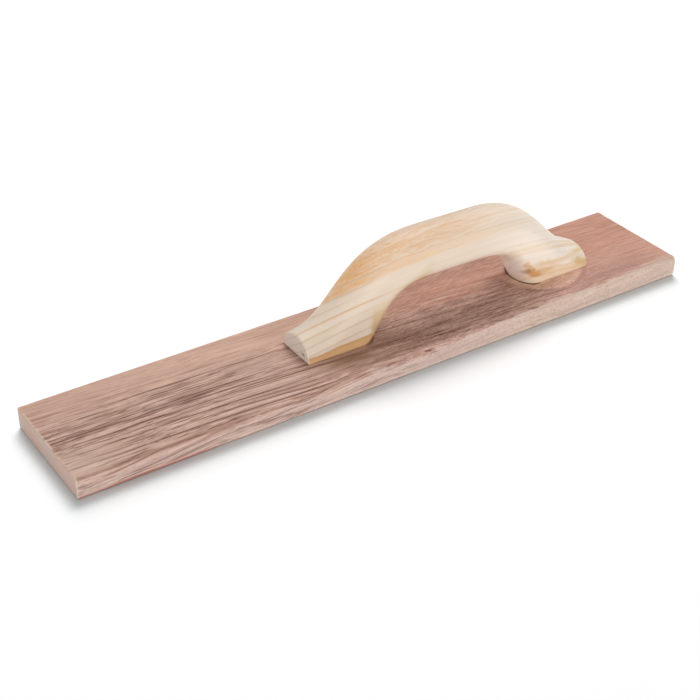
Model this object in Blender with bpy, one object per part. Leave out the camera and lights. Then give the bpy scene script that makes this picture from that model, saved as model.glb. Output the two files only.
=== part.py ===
# Wooden hand float for concrete: a long hardwood blade, a D-shaped softwood
# grip standing on two feet, and four countersunk wood screws driven up through
# the blade into the feet.
#
# Metres, +Z up.  The origin is the centre of the blade's working (bottom) face;
# +X runs along the blade towards the end the handle sits nearer to.  The handle
# and screws call their -X end the front and their +X end the rear.
import math
from bisect import bisect_left

import bmesh
import bpy
from mathutils import Vector

MM = 0.001
INCH = 25.4 * MM
GAP = 0.3 * MM                     # standing clearance between neighbouring pieces

# ---- blade sizes ------------------------------------------------------------
BLADE_L = 20 * INCH
BLADE_W = 3.5 * INCH
BLADE_T = 15.9 * MM
BLADE_LOWER_R = 2.5 * MM           # rounding of both lower long edges
BLADE_CORNERS = (                  # long edges: radius, segments, Y side, Z side, first angle
    (4.0 * MM, 8, -1, 1, 90.0),
    (BLADE_LOWER_R, 6, -1, -1, 180.0),
    (BLADE_LOWER_R, 6, 1, -1, 270.0),
    (1.0 * MM, 4, 1, 1, 0.0),
)
BLADE_END_EASE = 0.8 * MM          # easing round both end faces
BLADE_END_STEPS = 3

# ---- handle sizes -----------------------------------------------------------
HANDLE_X = 58.5 * MM               # handle's mid-length, measured from blade centre
HANDLE_HALF_W = 16.5 * MM          # half the sawn thickness, across the blade
OUTER_ROUND = 15.0 * MM            # depth of the rounding on the outer edge
INNER_ROUND = 11.0 * MM            # depth of the rounding round the finger opening
OUTER_TURN_L = 14.0 * MM           # outer rounding turns from vertical over this length
INNER_TURN_H = 16.0 * MM           # inner rounding turns from level over this height
MIN_FACING = 0.5                   # limits how far a slanted rounding is lengthened
FOOT_FLANK = 1.2 * MM              # flat left under the rounding at each foot end
FOOT_EASE = 0.5 * MM               # easing of the sawn foot ends
FRONT_LEG_LEAD = 5.0 * MM          # front leg stations start this far ahead of the heel
FRONT_LEG_MIN_H = 25.0 * MM        # and no lower than this on the outer outline
HEEL_STEP = 2.0 * MM               # outer outline between a foot's and a leg's stations

FRONT_FOOT_STEPS = 12
OPENING_STEPS = (18, 6, 16)        # front leg, grip, rear leg
REAR_FOOT_STEPS = 11
OUTER_ROUND_STEPS = 16
INNER_ROUND_STEPS = 12
BEZIER_STEPS = 60                  # per span of an outline

# Side outline of the handle as Bezier knots, in millimetres from its mid-length
# and its soles: x, z, heading in degrees, arm length behind, arm length ahead
OUTER_KNOTS = (
    (-127.0, 15.5, 14.0, 0.0, 12.0),     # end of the front foot
    (-96.5, 34.5, 47.5, 21.5, 19.5),     # middle of the front sweep
    (-24.5, 70.0, 0.0, 42.0, 28.5),      # front of the crest
    (27.5, 69.5, 0.0, 33.0, 29.0),       # back of the crest
    (89.5, 40.0, -45.0, 24.5, 33.0),     # middle of the rear shoulder
    (127.0, 13.5, -30.0, 24.0, 0.0),     # end of the rear foot
)
INNER_KNOTS = (
    (-67.5, 0.0, 54.0, 0.0, 20.0),       # heel of the front leg
    (-22.5, 32.7, 0.0, 31.5, 15.0),      # underside of the grip, front
    (16.5, 32.2, -1.0, 15.0, 43.0),      # underside of the grip, rear
    (67.0, 0.0, -59.0, 24.0, 0.0),       # heel of the rear leg
)
HANDLE_HALF_L = -OUTER_KNOTS[0][0] * MM

# ---- screw sizes (no. 10 x 1 1/4 in flat-head wood screws) --------------------
SCREW_L = 1.25 * INCH
SCREW_R = 4.8 * MM / 2             # shank and thread crest
SCREW_ROOT_R = 3.4 * MM / 2        # thread root
SCREW_TIP_R = 0.25 * MM            # core radius the point narrows towards
SCREW_HEAD_R = 9.2 * MM / 2
SCREW_HEAD_RIM = 0.35 * MM
SCREW_CONE_H = (SCREW_HEAD_R - SCREW_R) / math.tan(math.radians(41.0))
SCREW_PITCH = 1.95 * MM            # about 13 threads to the inch
SCREW_THREAD_L = 21.0 * MM
SCREW_POINT_L = 4.6 * MM
SHANK_TAPER_L = 1.2 * MM           # shank narrows to the thread root
THREAD_FADE_L = 2.0 * MM           # ridge dies out before the point
THREAD_HALF_BASE = 0.34            # half the ridge's base, in pitches
THREAD_TIP_SHARE = 0.35            # share of the ridge height kept as the point tapers
THREAD_ROWS_PER_TURN = 6
SCREW_SEGMENTS = 20

SCREW_RECESS = 2.0 * MM            # head below the working face
SCREW_X = {                        # along the blade, all on its centre line
    "screw_front_1": -48.0 * MM,
    "screw_front_2": -22.0 * MM,
    "screw_rear_1": 141.0 * MM,
    "screw_rear_2": 165.0 * MM,
}
FIRST_TURN = 23.0                  # degrees each screw is turned about its axis
TURN_STEP = 67.0

CROSS_SPAN = 5.0 * MM              # cross recess in the head
CROSS_WIDTH = 1.15 * MM
CROSS_DEPTH = 2.1 * MM
CROSS_OVERSHOOT = 0.5 * MM         # cutter below the head face
CROSS_MOUTH_SCALE = 1.12           # outline scale at the cutter's open end
CROSS_ARM_SCALE = 0.42             # scale of the arm ends at full depth
CROSS_CORNER_SCALE = 0.8           # scale of the inner corners at full depth

# ---- screw hole sizes ---------------------------------------------------------
HOLE_R = SCREW_R + GAP
MOUTH_R = SCREW_HEAD_R + GAP
HOLE_OVERSHOOT = 2.0 * MM          # cutters beyond the faces they open
PILOT_SPARE = 0.8 * MM             # pilot depth past the screw point
PILOT_TAPER_L = 3.0 * MM
PILOT_TIP_R = 0.9 * MM
HOLE_SEGMENTS = 32


# ---- shared helpers -----------------------------------------------------------
def clear_scene():
    for obj in list(bpy.data.objects):
        bpy.data.objects.remove(obj, do_unlink=True)


def principled(name, color, roughness, metallic=0.0):
    material = bpy.data.materials.new(name)
    material.use_nodes = True
    shader = material.node_tree.nodes["Principled BSDF"]
    shader.inputs["Base Color"].default_value = (*color, 1.0)
    shader.inputs["Roughness"].default_value = roughness
    shader.inputs["Metallic"].default_value = metallic
    material.diffuse_color = (*color, 1.0)
    return material


def finish_mesh(shape, name, material=None, sharp_deg=None):
    """Turn a bmesh into a mesh; with an angle, shade it smooth but for its arrises."""
    bmesh.ops.recalc_face_normals(shape, faces=shape.faces)
    mesh = bpy.data.meshes.new(name)
    shape.to_mesh(mesh)
    shape.free()
    if sharp_deg is not None:
        mesh.shade_smooth()
        mesh.set_sharp_from_angle(angle=math.radians(sharp_deg))
    if material is not None:
        mesh.materials.append(material)
    return mesh


def add_object(name, mesh):
    obj = bpy.data.objects.new(name, mesh)
    bpy.context.scene.collection.objects.link(obj)
    return obj


def cut_away(obj, cutter):
    """Hide the cutter and subtract it from the object."""
    cutter.hide_render = True
    cutter.display_type = 'WIRE'
    modifier = obj.modifiers.new("cut_" + cutter.name, 'BOOLEAN')
    modifier.operation = 'DIFFERENCE'
    modifier.solver = 'EXACT'
    modifier.object = cutter


def skin(shape, rings):
    """Join neighbouring rings with faces, skipping corners the rings share."""
    for ring, following in zip(rings[:-1], rings[1:]):
        for k in range(len(ring)):
            j = (k + 1) % len(ring)
            corners = list(dict.fromkeys((ring[k], ring[j], following[j], following[k])))
            if len(corners) > 2:
                shape.faces.new(corners)


def cap_ends(shape, rings):
    shape.faces.new(list(reversed(rings[0])))
    shape.faces.new(rings[-1])


def lathe(shape, profile, segments, x):
    """Closed solid of revolution about a vertical axis at x.  The profile runs
    from pole to pole as radius, height pairs; its first and last radius are 0."""
    rings = []
    for radius, z in profile[1:-1]:
        rings.append([shape.verts.new((x + radius * math.cos(2 * math.pi * k / segments),
                                       radius * math.sin(2 * math.pi * k / segments), z))
                      for k in range(segments)])
    first, last = (shape.verts.new((x, 0.0, profile[end][1])) for end in (0, -1))
    for k in range(segments):
        j = (k + 1) % segments
        shape.faces.new((first, rings[0][j], rings[0][k]))
        shape.faces.new((last, rings[-1][k], rings[-1][j]))
    skin(shape, rings)


def cut_screw_holes(obj, cutter_name, profile):
    shape = bmesh.new()
    for x in SCREW_X.values():
        lathe(shape, profile, HOLE_SEGMENTS, x)
    cut_away(obj, add_object(cutter_name, finish_mesh(shape, cutter_name, sharp_deg=35.0)))


# ---- blade ------------------------------------------------------------------
def blade_section(inset):
    """Outline of the blade's cross-section as (y, z), drawn in by the inset."""
    outline = []
    for radius, segments, y_side, z_side, start in BLADE_CORNERS:
        centre_y = y_side * (BLADE_W / 2 - radius)
        centre_z = BLADE_T - radius if z_side > 0 else radius
        for i in range(segments + 1):
            angle = math.radians(start + 90.0 * i / segments)
            outline.append((centre_y + (radius - inset) * math.cos(angle),
                            centre_z + (radius - inset) * math.sin(angle)))
    return outline


def build_blade(material):
    end_rows = []                      # (distance in from the end face, inset)
    for i in range(BLADE_END_STEPS + 1):
        angle = math.radians(90.0 * i / BLADE_END_STEPS)
        end_rows.append((BLADE_END_EASE * (1 - math.cos(angle)),
                         BLADE_END_EASE * (1 - math.sin(angle))))
    rows = [(-BLADE_L / 2 + distance, inset) for distance, inset in end_rows]
    rows += [(BLADE_L / 2 - distance, inset) for distance, inset in reversed(end_rows)]

    shape = bmesh.new()
    rings = [[shape.verts.new((x, y, z)) for y, z in blade_section(inset)]
             for x, inset in rows]
    skin(shape, rings)
    cap_ends(shape, rings)
    blade = add_object("blade", finish_mesh(shape, "blade", material, sharp_deg=40.0))

    # clearance holes with a counterbored, countersunk mouth in the working face
    seat_z = SCREW_RECESS + SCREW_HEAD_RIM
    top_z = BLADE_T + HOLE_OVERSHOOT
    cut_screw_holes(blade, "cut_blade_holes", (
        (0.0, -HOLE_OVERSHOOT),
        (MOUTH_R, -HOLE_OVERSHOOT),
        (MOUTH_R, seat_z),
        (HOLE_R, seat_z + SCREW_CONE_H),
        (HOLE_R, top_z),
        (0.0, top_z),
    ))
    return blade


# ---- handle -----------------------------------------------------------------
# Outline points and directions are 2D vectors: .x along the handle, .y height.
def bezier_path(knots):
    """Dense points along a string of Bezier spans, in metres."""
    points = []
    for start, end in zip(knots[:-1], knots[1:]):
        x0, z0, start_heading, _, start_arm = start
        x3, z3, end_heading, end_arm, _ = end
        x1 = x0 + start_arm * math.cos(math.radians(start_heading))
        z1 = z0 + start_arm * math.sin(math.radians(start_heading))
        x2 = x3 - end_arm * math.cos(math.radians(end_heading))
        z2 = z3 - end_arm * math.sin(math.radians(end_heading))
        for i in range(1 if points else 0, BEZIER_STEPS + 1):
            t = i / BEZIER_STEPS
            w0, w1, w2, w3 = (1 - t) ** 3, 3 * t * (1 - t) ** 2, 3 * t * t * (1 - t), t ** 3
            points.append(Vector((MM * (w0 * x0 + w1 * x1 + w2 * x2 + w3 * x3),
                                  MM * (w0 * z0 + w1 * z1 + w2 * z2 + w3 * z3))))
    return points


class Path:
    """A polyline that can be asked for a point and a left-hand normal by length."""

    def __init__(self, points):
        self.points = points
        self.lengths = [0.0]
        for start, end in zip(points[:-1], points[1:]):
            self.lengths.append(self.lengths[-1] + (end - start).length)
        self.length = self.lengths[-1]

    def sample(self, along):
        along = min(max(along, 0.0), self.length)
        i = bisect_left(self.lengths, along, 1) - 1
        share = (along - self.lengths[i]) / (self.lengths[i + 1] - self.lengths[i])
        here = self.points[i].lerp(self.points[i + 1], share)
        before = self.points[max(i - 1, 0)]
        after = self.points[min(i + 2, len(self.points) - 1)]
        heading = (after - before).normalized()
        return here, Vector((-heading.y, heading.x))

    def length_at(self, test):
        """Length at which a property of the point and its normal first holds."""
        for along in self.lengths:
            if test(*self.sample(along)):
                return along
        return self.length

    def length_at_x(self, x):
        return self.length_at(lambda point, normal: point.x >= x)


def smooth(t):
    t = min(max(t, 0.0), 1.0)
    return t * t * (3 - 2 * t)


def spread(start, end, count):
    """Evenly spaced values over count steps, both ends included."""
    return [start + (end - start) * i / count for i in range(count)] + [end]


def outer_edge(outer, along):
    """Outline point, and the point where its rounding meets the flat flank."""
    point, normal = outer.sample(along)
    turn = smooth(min(along, outer.length - along) / OUTER_TURN_L)
    outward = Vector((0.0, 1.0)).lerp(normal, turn).normalized()
    depth = OUTER_ROUND / max(outward.dot(normal), MIN_FACING)
    depth = min(depth, (point.y - FOOT_FLANK) / max(outward.y, 0.1))
    return point, point - depth * outward


def inner_edge(inner, along):
    """The same pair of points on the edge of the finger opening."""
    point, normal = inner.sample(along)
    into_opening = -normal
    side = 1.0 if along < inner.length / 2 else -1.0
    turn = smooth(point.y / INNER_TURN_H)
    outward = Vector((side, 0.0)).lerp(into_opening, turn).normalized()
    return point, point - INNER_ROUND / max(outward.dot(into_opening), MIN_FACING) * outward


def sole_edge(x):
    """On the flat sole the outline and flank points are one."""
    point = Vector((x, 0.0))
    return point, point


def handle_stations():
    """Outer and inner edge points of each cross-section, front foot to rear foot."""
    outer = Path(bezier_path(OUTER_KNOTS))
    inner = Path(bezier_path(INNER_KNOTS))

    # the soles' flat flanks end at the heels; the legs start above them
    heel_front = inner_edge(inner, 0.0)[1].x
    heel_rear = inner_edge(inner, inner.length)[1].x
    leg_front = outer.length_at(
        lambda point, normal: (point - OUTER_ROUND * normal).x > heel_front - FRONT_LEG_LEAD
        and point.y > FRONT_LEG_MIN_H)
    leg_rear = outer.length_at(
        lambda point, normal: (point - OUTER_ROUND * normal).x > heel_rear and point.x > 0)

    stations = [(outer_edge(outer, along), sole_edge(x))
                for along, x in zip(spread(0.0, leg_front, FRONT_FOOT_STEPS),
                                    spread(-HANDLE_HALF_L, heel_front, FRONT_FOOT_STEPS))]

    # lengths along the outer and inner outlines that face each other
    marks = [(leg_front + HEEL_STEP, 0.0)]
    for outer_knot, inner_knot in zip(OUTER_KNOTS[2:4], INNER_KNOTS[1:3]):
        marks.append((outer.length_at_x(outer_knot[0] * MM),
                      inner.length_at_x(inner_knot[0] * MM)))
    marks.append((leg_rear - HEEL_STEP, inner.length))
    pairs = []
    for start, end, count in zip(marks[:-1], marks[1:], OPENING_STEPS):
        pairs += list(zip(spread(start[0], end[0], count),
                          spread(start[1], end[1], count)))[:-1]
    pairs.append(marks[-1])
    stations += [(outer_edge(outer, out_along), inner_edge(inner, in_along))
                 for out_along, in_along in pairs]

    stations += [(outer_edge(outer, along), sole_edge(x))
                 for along, x in zip(spread(leg_rear, outer.length, REAR_FOOT_STEPS),
                                     spread(heel_rear, HANDLE_HALF_L, REAR_FOOT_STEPS))]
    return stations


def handle_section(station, inset=0.0, x_shift=0.0):
    """Ring of points: over the outer edge from -Y to +Y, back along the inner one."""
    (outer_point, outer_flank), (inner_point, inner_flank) = station
    half_w = HANDLE_HALF_W * (1.0 - inset / HANDLE_HALF_W)
    outer_reach = outer_point - outer_flank
    ring = []
    for k in range(OUTER_ROUND_STEPS + 1):
        angle = math.pi * (k / OUTER_ROUND_STEPS - 0.5)
        rise = outer_reach * (math.cos(angle) * (1.0 - inset / outer_reach.length))
        ring.append((outer_flank.x + rise.x + x_shift, half_w * math.sin(angle),
                     outer_flank.y + rise.y))
    for k in range(INNER_ROUND_STEPS + 1):
        angle = math.pi * (0.5 - k / INNER_ROUND_STEPS)
        reach = (inner_point - inner_flank) * math.cos(angle)
        ring.append((inner_flank.x + reach.x + x_shift, half_w * math.sin(angle),
                     inner_flank.y + reach.y + inset))
    return ring


def build_handle(material):
    stations = handle_stations()
    sections = [handle_section(stations[0], inset=FOOT_EASE),
                handle_section(stations[0], x_shift=FOOT_EASE)]
    sections += [handle_section(station) for station in stations[1:-1]]
    sections += [handle_section(stations[-1], x_shift=-FOOT_EASE),
                 handle_section(stations[-1], inset=FOOT_EASE)]

    # points that coincide share one vertex
    shape = bmesh.new()
    known = {}
    rings = []
    for section in sections:
        ring = []
        for point in section:
            key = tuple(round(value, 7) for value in point)
            if key not in known:
                known[key] = shape.verts.new(point)
            ring.append(known[key])
        rings.append(ring)
    skin(shape, rings)
    cap_ends(shape, rings)
    handle = add_object("handle", finish_mesh(shape, "handle", material, sharp_deg=38.0))
    handle.location = (HANDLE_X, 0.0, BLADE_T + GAP)

    # pilot holes up from the soles, ending just past the screw points
    bottom_z = BLADE_T - HOLE_OVERSHOOT
    tip_z = SCREW_RECESS + SCREW_L + PILOT_SPARE
    cut_screw_holes(handle, "cut_handle_pilots", (
        (0.0, bottom_z),
        (HOLE_R, bottom_z),
        (HOLE_R, tip_z - PILOT_TAPER_L),
        (PILOT_TIP_R, tip_z),
        (0.0, tip_z),
    ))
    return handle


# ---- screws -----------------------------------------------------------------
def screw_rows(thread_z):
    """Core radius, height and ridge height of each ring from head to point."""
    rows = [
        (SCREW_HEAD_R, 0.0, 0.0),
        (SCREW_HEAD_R, SCREW_HEAD_RIM, 0.0),
        (SCREW_R, SCREW_HEAD_RIM + SCREW_CONE_H, 0.0),
        (SCREW_R, thread_z - SHANK_TAPER_L, 0.0),
        (SCREW_ROOT_R, thread_z, 0.0),
    ]
    count = int(round(SCREW_THREAD_L / SCREW_PITCH * THREAD_ROWS_PER_TURN)) - 1
    for i in range(1, count):
        z = thread_z + SCREW_THREAD_L * i / count
        to_tip = SCREW_L - z
        taper = 1.0 if z < SCREW_L - SCREW_POINT_L else to_tip / SCREW_POINT_L
        core = SCREW_TIP_R + (SCREW_ROOT_R - SCREW_TIP_R) * taper
        fade = smooth((z - thread_z) / SCREW_PITCH) * smooth(to_tip / THREAD_FADE_L)
        share = THREAD_TIP_SHARE + (1.0 - THREAD_TIP_SHARE) * taper
        rows.append((core, z, (SCREW_R - SCREW_ROOT_R) * fade * share))
    return rows


def screw_mesh(material):
    """Screw standing on its head: head face at z = 0, point at +Z."""
    thread_z = SCREW_L - SCREW_THREAD_L
    shape = bmesh.new()
    rings = []
    for core, z, ridge in screw_rows(thread_z):
        ring = []
        for k in range(SCREW_SEGMENTS):
            turn = k / SCREW_SEGMENTS
            phase = ((z - thread_z) / SCREW_PITCH - turn) % 1.0
            lift = max(0.0, 1.0 - abs(phase - 0.5) / THREAD_HALF_BASE)
            radius = core + ridge * lift
            ring.append(shape.verts.new((radius * math.cos(2 * math.pi * turn),
                                         radius * math.sin(2 * math.pi * turn), z)))
        rings.append(ring)
    point = shape.verts.new((0.0, 0.0, SCREW_L))
    skin(shape, rings)
    for k in range(SCREW_SEGMENTS):
        shape.faces.new((rings[-1][k], rings[-1][(k + 1) % SCREW_SEGMENTS], point))
    shape.faces.new(list(reversed(rings[0])))
    return finish_mesh(shape, "screw", material, sharp_deg=40.0)


def cross_cutter_mesh():
    """Tapered cross that opens the driver recess in a screw head."""
    arm, half_w = CROSS_SPAN / 2, CROSS_WIDTH / 2
    outline = []                       # x, y, scale at full depth
    for quarter in range(4):
        cosine, sine = math.cos(quarter * math.pi / 2), math.sin(quarter * math.pi / 2)
        for x, y, scale in ((arm, -half_w, CROSS_ARM_SCALE),
                            (arm, half_w, CROSS_ARM_SCALE),
                            (half_w, half_w, CROSS_CORNER_SCALE)):
            outline.append((cosine * x - sine * y, sine * x + cosine * y, scale))

    shape = bmesh.new()
    rings = [
        [shape.verts.new((x * CROSS_MOUTH_SCALE, y * CROSS_MOUTH_SCALE, -CROSS_OVERSHOOT))
         for x, y, _ in outline],
        [shape.verts.new((x * scale, y * scale, CROSS_DEPTH)) for x, y, scale in outline],
    ]
    skin(shape, rings)
    cap_ends(shape, rings)
    return finish_mesh(shape, "cross_recess")


def build_screws(material, blade):
    mesh = screw_mesh(material)
    cross = cross_cutter_mesh()
    for i, (name, x) in enumerate(SCREW_X.items()):
        screw = add_object(name, mesh)
        screw.location = (x, 0.0, SCREW_RECESS)
        screw.rotation_euler = (0.0, 0.0, math.radians(FIRST_TURN + TURN_STEP * i))
        screw.parent = blade
        cutter = add_object("cut_" + name, cross)
        cutter.parent = screw
        cut_away(screw, cutter)


clear_scene()
blade_wood = principled("blade_wood", color=(0.42, 0.245, 0.185), roughness=0.72)
handle_wood = principled("handle_wood", color=(0.78, 0.60, 0.42), roughness=0.55)
screw_steel = principled("screw_steel", color=(0.62, 0.62, 0.60), roughness=0.34, metallic=1.0)

blade = build_blade(blade_wood)
handle = build_handle(handle_wood)
handle.parent = blade
build_screws(screw_steel, blade)
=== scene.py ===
"""A wooden hand float: a flat board with a bow-shaped pine handle and four wood screws.

The board lies flat with its long side along X, its width along Y and its lower face at z = 0.
The handle stands on the upper face: its front foot is towards -X and its rear foot towards +X.
The screws rise from the lower face into the feet. The near side, towards the camera, is -Y.
"""
import math
from types import SimpleNamespace

import bmesh
import bpy
import numpy as np
from mathutils import Matrix, Vector


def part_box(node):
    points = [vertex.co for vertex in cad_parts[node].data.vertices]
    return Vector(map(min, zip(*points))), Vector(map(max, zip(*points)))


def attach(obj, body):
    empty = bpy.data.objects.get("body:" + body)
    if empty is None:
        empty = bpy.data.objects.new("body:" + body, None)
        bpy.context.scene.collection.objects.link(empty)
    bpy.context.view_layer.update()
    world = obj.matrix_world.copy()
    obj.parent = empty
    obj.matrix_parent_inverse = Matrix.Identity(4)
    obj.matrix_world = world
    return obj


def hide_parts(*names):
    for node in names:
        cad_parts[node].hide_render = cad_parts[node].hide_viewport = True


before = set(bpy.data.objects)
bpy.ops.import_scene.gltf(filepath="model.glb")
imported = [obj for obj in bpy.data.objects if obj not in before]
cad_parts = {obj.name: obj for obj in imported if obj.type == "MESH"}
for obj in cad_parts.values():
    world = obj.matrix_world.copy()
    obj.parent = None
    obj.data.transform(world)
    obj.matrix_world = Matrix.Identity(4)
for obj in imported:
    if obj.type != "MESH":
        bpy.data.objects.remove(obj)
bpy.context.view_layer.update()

MM = 0.001

# the grain drifts out of the board along X, from the -X end
GRAIN_START = 254.0             # mm from the middle to the -X end
GRAIN_RISE_Y, GRAIN_RISE_Z = 0.045, 0.05


# =============================================================================
# repeatable noise
# =============================================================================
def smoothstep(low, high, x):
    t = np.clip((x - low) / (high - low), 0.0, 1.0)
    return t * t * (3.0 - 2.0 * t)


def lattice(ix, iy, iz, seed):
    """Repeatable value in 0..1 for each whole-number cell; the constants are hash primes."""
    h = (ix.astype(np.uint32) * np.uint32(374761393)
         + iy.astype(np.uint32) * np.uint32(668265263)
         + iz.astype(np.uint32) * np.uint32(2147483647)
         + np.uint32((seed * 1274126177) & 0xFFFFFFFF))
    h = (h ^ (h >> np.uint32(13))) * np.uint32(1274126177)
    h = (h ^ (h >> np.uint32(16))) * np.uint32(2246822519)
    h = h ^ (h >> np.uint32(15))
    return h.astype(np.float64) / 4294967295.0


def value_noise(x, y, z, seed):
    """Smooth noise in -1..1, one cell per unit."""
    floors = [np.floor(v) for v in (x, y, z)]
    ix, iy, iz = (f.astype(np.int64) for f in floors)
    tx, ty, tz = (v - f for v, f in zip((x, y, z), floors))
    tx, ty, tz = (t * t * (3 - 2 * t) for t in (tx, ty, tz))
    total = 0.0
    for dx in (0, 1):
        for dy in (0, 1):
            for dz in (0, 1):
                weight = ((tx if dx else 1 - tx) * (ty if dy else 1 - ty)
                          * (tz if dz else 1 - tz))
                total = total + weight * lattice(ix + dx, iy + dy, iz + dz, seed)
    return total * 2.0 - 1.0


def layered_noise(x, y, z, seed, octaves):
    total, norm = 0.0, 0.0
    for k in range(octaves):
        scale, weight = 2.0 ** k, 0.5 ** k
        total = total + weight * value_noise(x * scale, y * scale, z * scale, seed + 17 * k)
        norm += weight
    return total / norm


# =============================================================================
# mesh tools
# =============================================================================
def mesh_object(name, verts, faces, uvs=None):
    mesh = bpy.data.meshes.new(name)
    mesh.from_pydata([tuple(v) for v in verts], [], faces)
    if uvs is not None:
        layer = mesh.uv_layers.new(name="OFBake")
        flat = np.array([c for face in uvs for uv in face for c in uv], dtype=np.float32)
        layer.data.foreach_set("uv", flat)
    mesh.validate()
    mesh.shade_smooth()
    ob = bpy.data.objects.new(name, mesh)
    bpy.context.scene.collection.objects.link(ob)
    return ob


def apply_cut(ob, cutter):
    """Cut one mesh out of another and keep only the result."""
    mod = ob.modifiers.new("cut", 'BOOLEAN')
    mod.operation, mod.solver, mod.object = 'DIFFERENCE', 'EXACT', cutter
    bpy.context.view_layer.update()
    depsgraph = bpy.context.evaluated_depsgraph_get()
    cut = bpy.data.meshes.new_from_object(ob.evaluated_get(depsgraph), depsgraph=depsgraph)
    old = ob.data
    ob.modifiers.clear()
    ob.data = cut
    cut.name = old.name + "_cut"
    bpy.data.meshes.remove(old)
    old_cutter = cutter.data
    bpy.data.objects.remove(cutter, do_unlink=True)
    bpy.data.meshes.remove(old_cutter)


def tube_faces(rows, n):
    """Quads between neighbouring rows of n vertices, each row closed on itself."""
    return [(i * n + k, i * n + (k + 1) % n, (i + 1) * n + (k + 1) % n, (i + 1) * n + k)
            for i in range(rows - 1) for k in range(n)]


def rounding(radius, steps):
    """Quarter-round at an end, from the end face inwards: (run along X, inset)."""
    angles = [math.radians(90.0 * i / steps) for i in range(steps + 1)]
    return [(radius * (1 - math.cos(a)), radius * (1 - math.sin(a))) for a in angles]


def lathe_data(profile, segments, centre):
    """Closed solid of revolution about Z; the profile's ends have radius 0."""
    cx, cy = centre
    verts = []
    for r, z in profile[1:-1]:
        for k in range(segments):
            a = 2 * math.pi * k / segments
            verts.append((cx + r * math.cos(a), cy + r * math.sin(a), z))
    rows = len(profile) - 2
    faces = tube_faces(rows, segments)
    first, last = len(verts), len(verts) + 1
    verts += [(cx, cy, profile[0][1]), (cx, cy, profile[-1][1])]
    for k in range(segments):
        j = (k + 1) % segments
        faces.append((first, j, k))
        faces.append((last, (rows - 1) * segments + k, (rows - 1) * segments + j))
    return verts, faces


def dress(ob, material, node):
    """Give a finished piece its material, hang it on the root body and hide the CAD piece that it
    replaces.
    """
    ob.data.materials.clear()
    ob.data.materials.append(material)
    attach(ob, "root")
    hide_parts(node)


# =============================================================================
# node graphs
# =============================================================================
def linear(rgb):
    """8-bit display colour to linear."""
    out = []
    for c in rgb:
        c = c / 255.0
        out.append(c / 12.92 if c <= 0.04045 else ((c + 0.055) / 1.055) ** 2.4)
    return tuple(out) + (1.0,)


class Signal:
    """A node's output; arithmetic on it adds Math nodes."""

    def __init__(self, graph, socket):
        self.graph, self.socket = graph, socket

    def __add__(self, other):
        return self.graph.math('ADD', self, other)

    def __radd__(self, other):
        return self.graph.math('ADD', other, self)

    def __sub__(self, other):
        return self.graph.math('SUBTRACT', self, other)

    def __rsub__(self, other):
        return self.graph.math('SUBTRACT', other, self)

    def __mul__(self, other):
        return self.graph.math('MULTIPLY', self, other)

    def __truediv__(self, number):
        return self.graph.math('MULTIPLY', self, 1 / number)

    def __pow__(self, power):
        return self.graph.math('POWER', self, power)

    def __abs__(self):
        return self.graph.math('ABSOLUTE', self)

    def step(self, off, on, low=0.0, high=1.0):
        """Smooth step from low at `off` to high at `on`; `off` may be above `on`."""
        ends = (off, on, low, high) if off <= on else (on, off, high, low)
        n = self.graph.node('ShaderNodeMapRange', interpolation_type='SMOOTHSTEP', clamp=True)
        return self.graph.fill(n, self, *ends)

    def peak(self, at, width):
        """1 at `at`, falling smoothly to 0 at +-width."""
        return abs(self - at).step(off=width, on=0.0)

    def tint(self, mask, rgb, strength=None):
        """Lay a colour over this one where the mask, times the strength, is 1."""
        return self.graph.mix(mask if strength is None else mask * strength, self, rgb)

    def shade(self, factor):
        """Multiply this colour by a grey factor."""
        n = self.graph.node('ShaderNodeVectorMath', operation='SCALE')
        self.graph.feed(n.inputs[0], self)
        self.graph.feed(n.inputs['Scale'], factor)
        return Signal(self.graph, n.outputs[0])

    def vary(self, noise, swing):
        """Shade this colour by a noise, centred on no change."""
        return self.shade(1.0 + (noise - 0.5) * swing)


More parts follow.
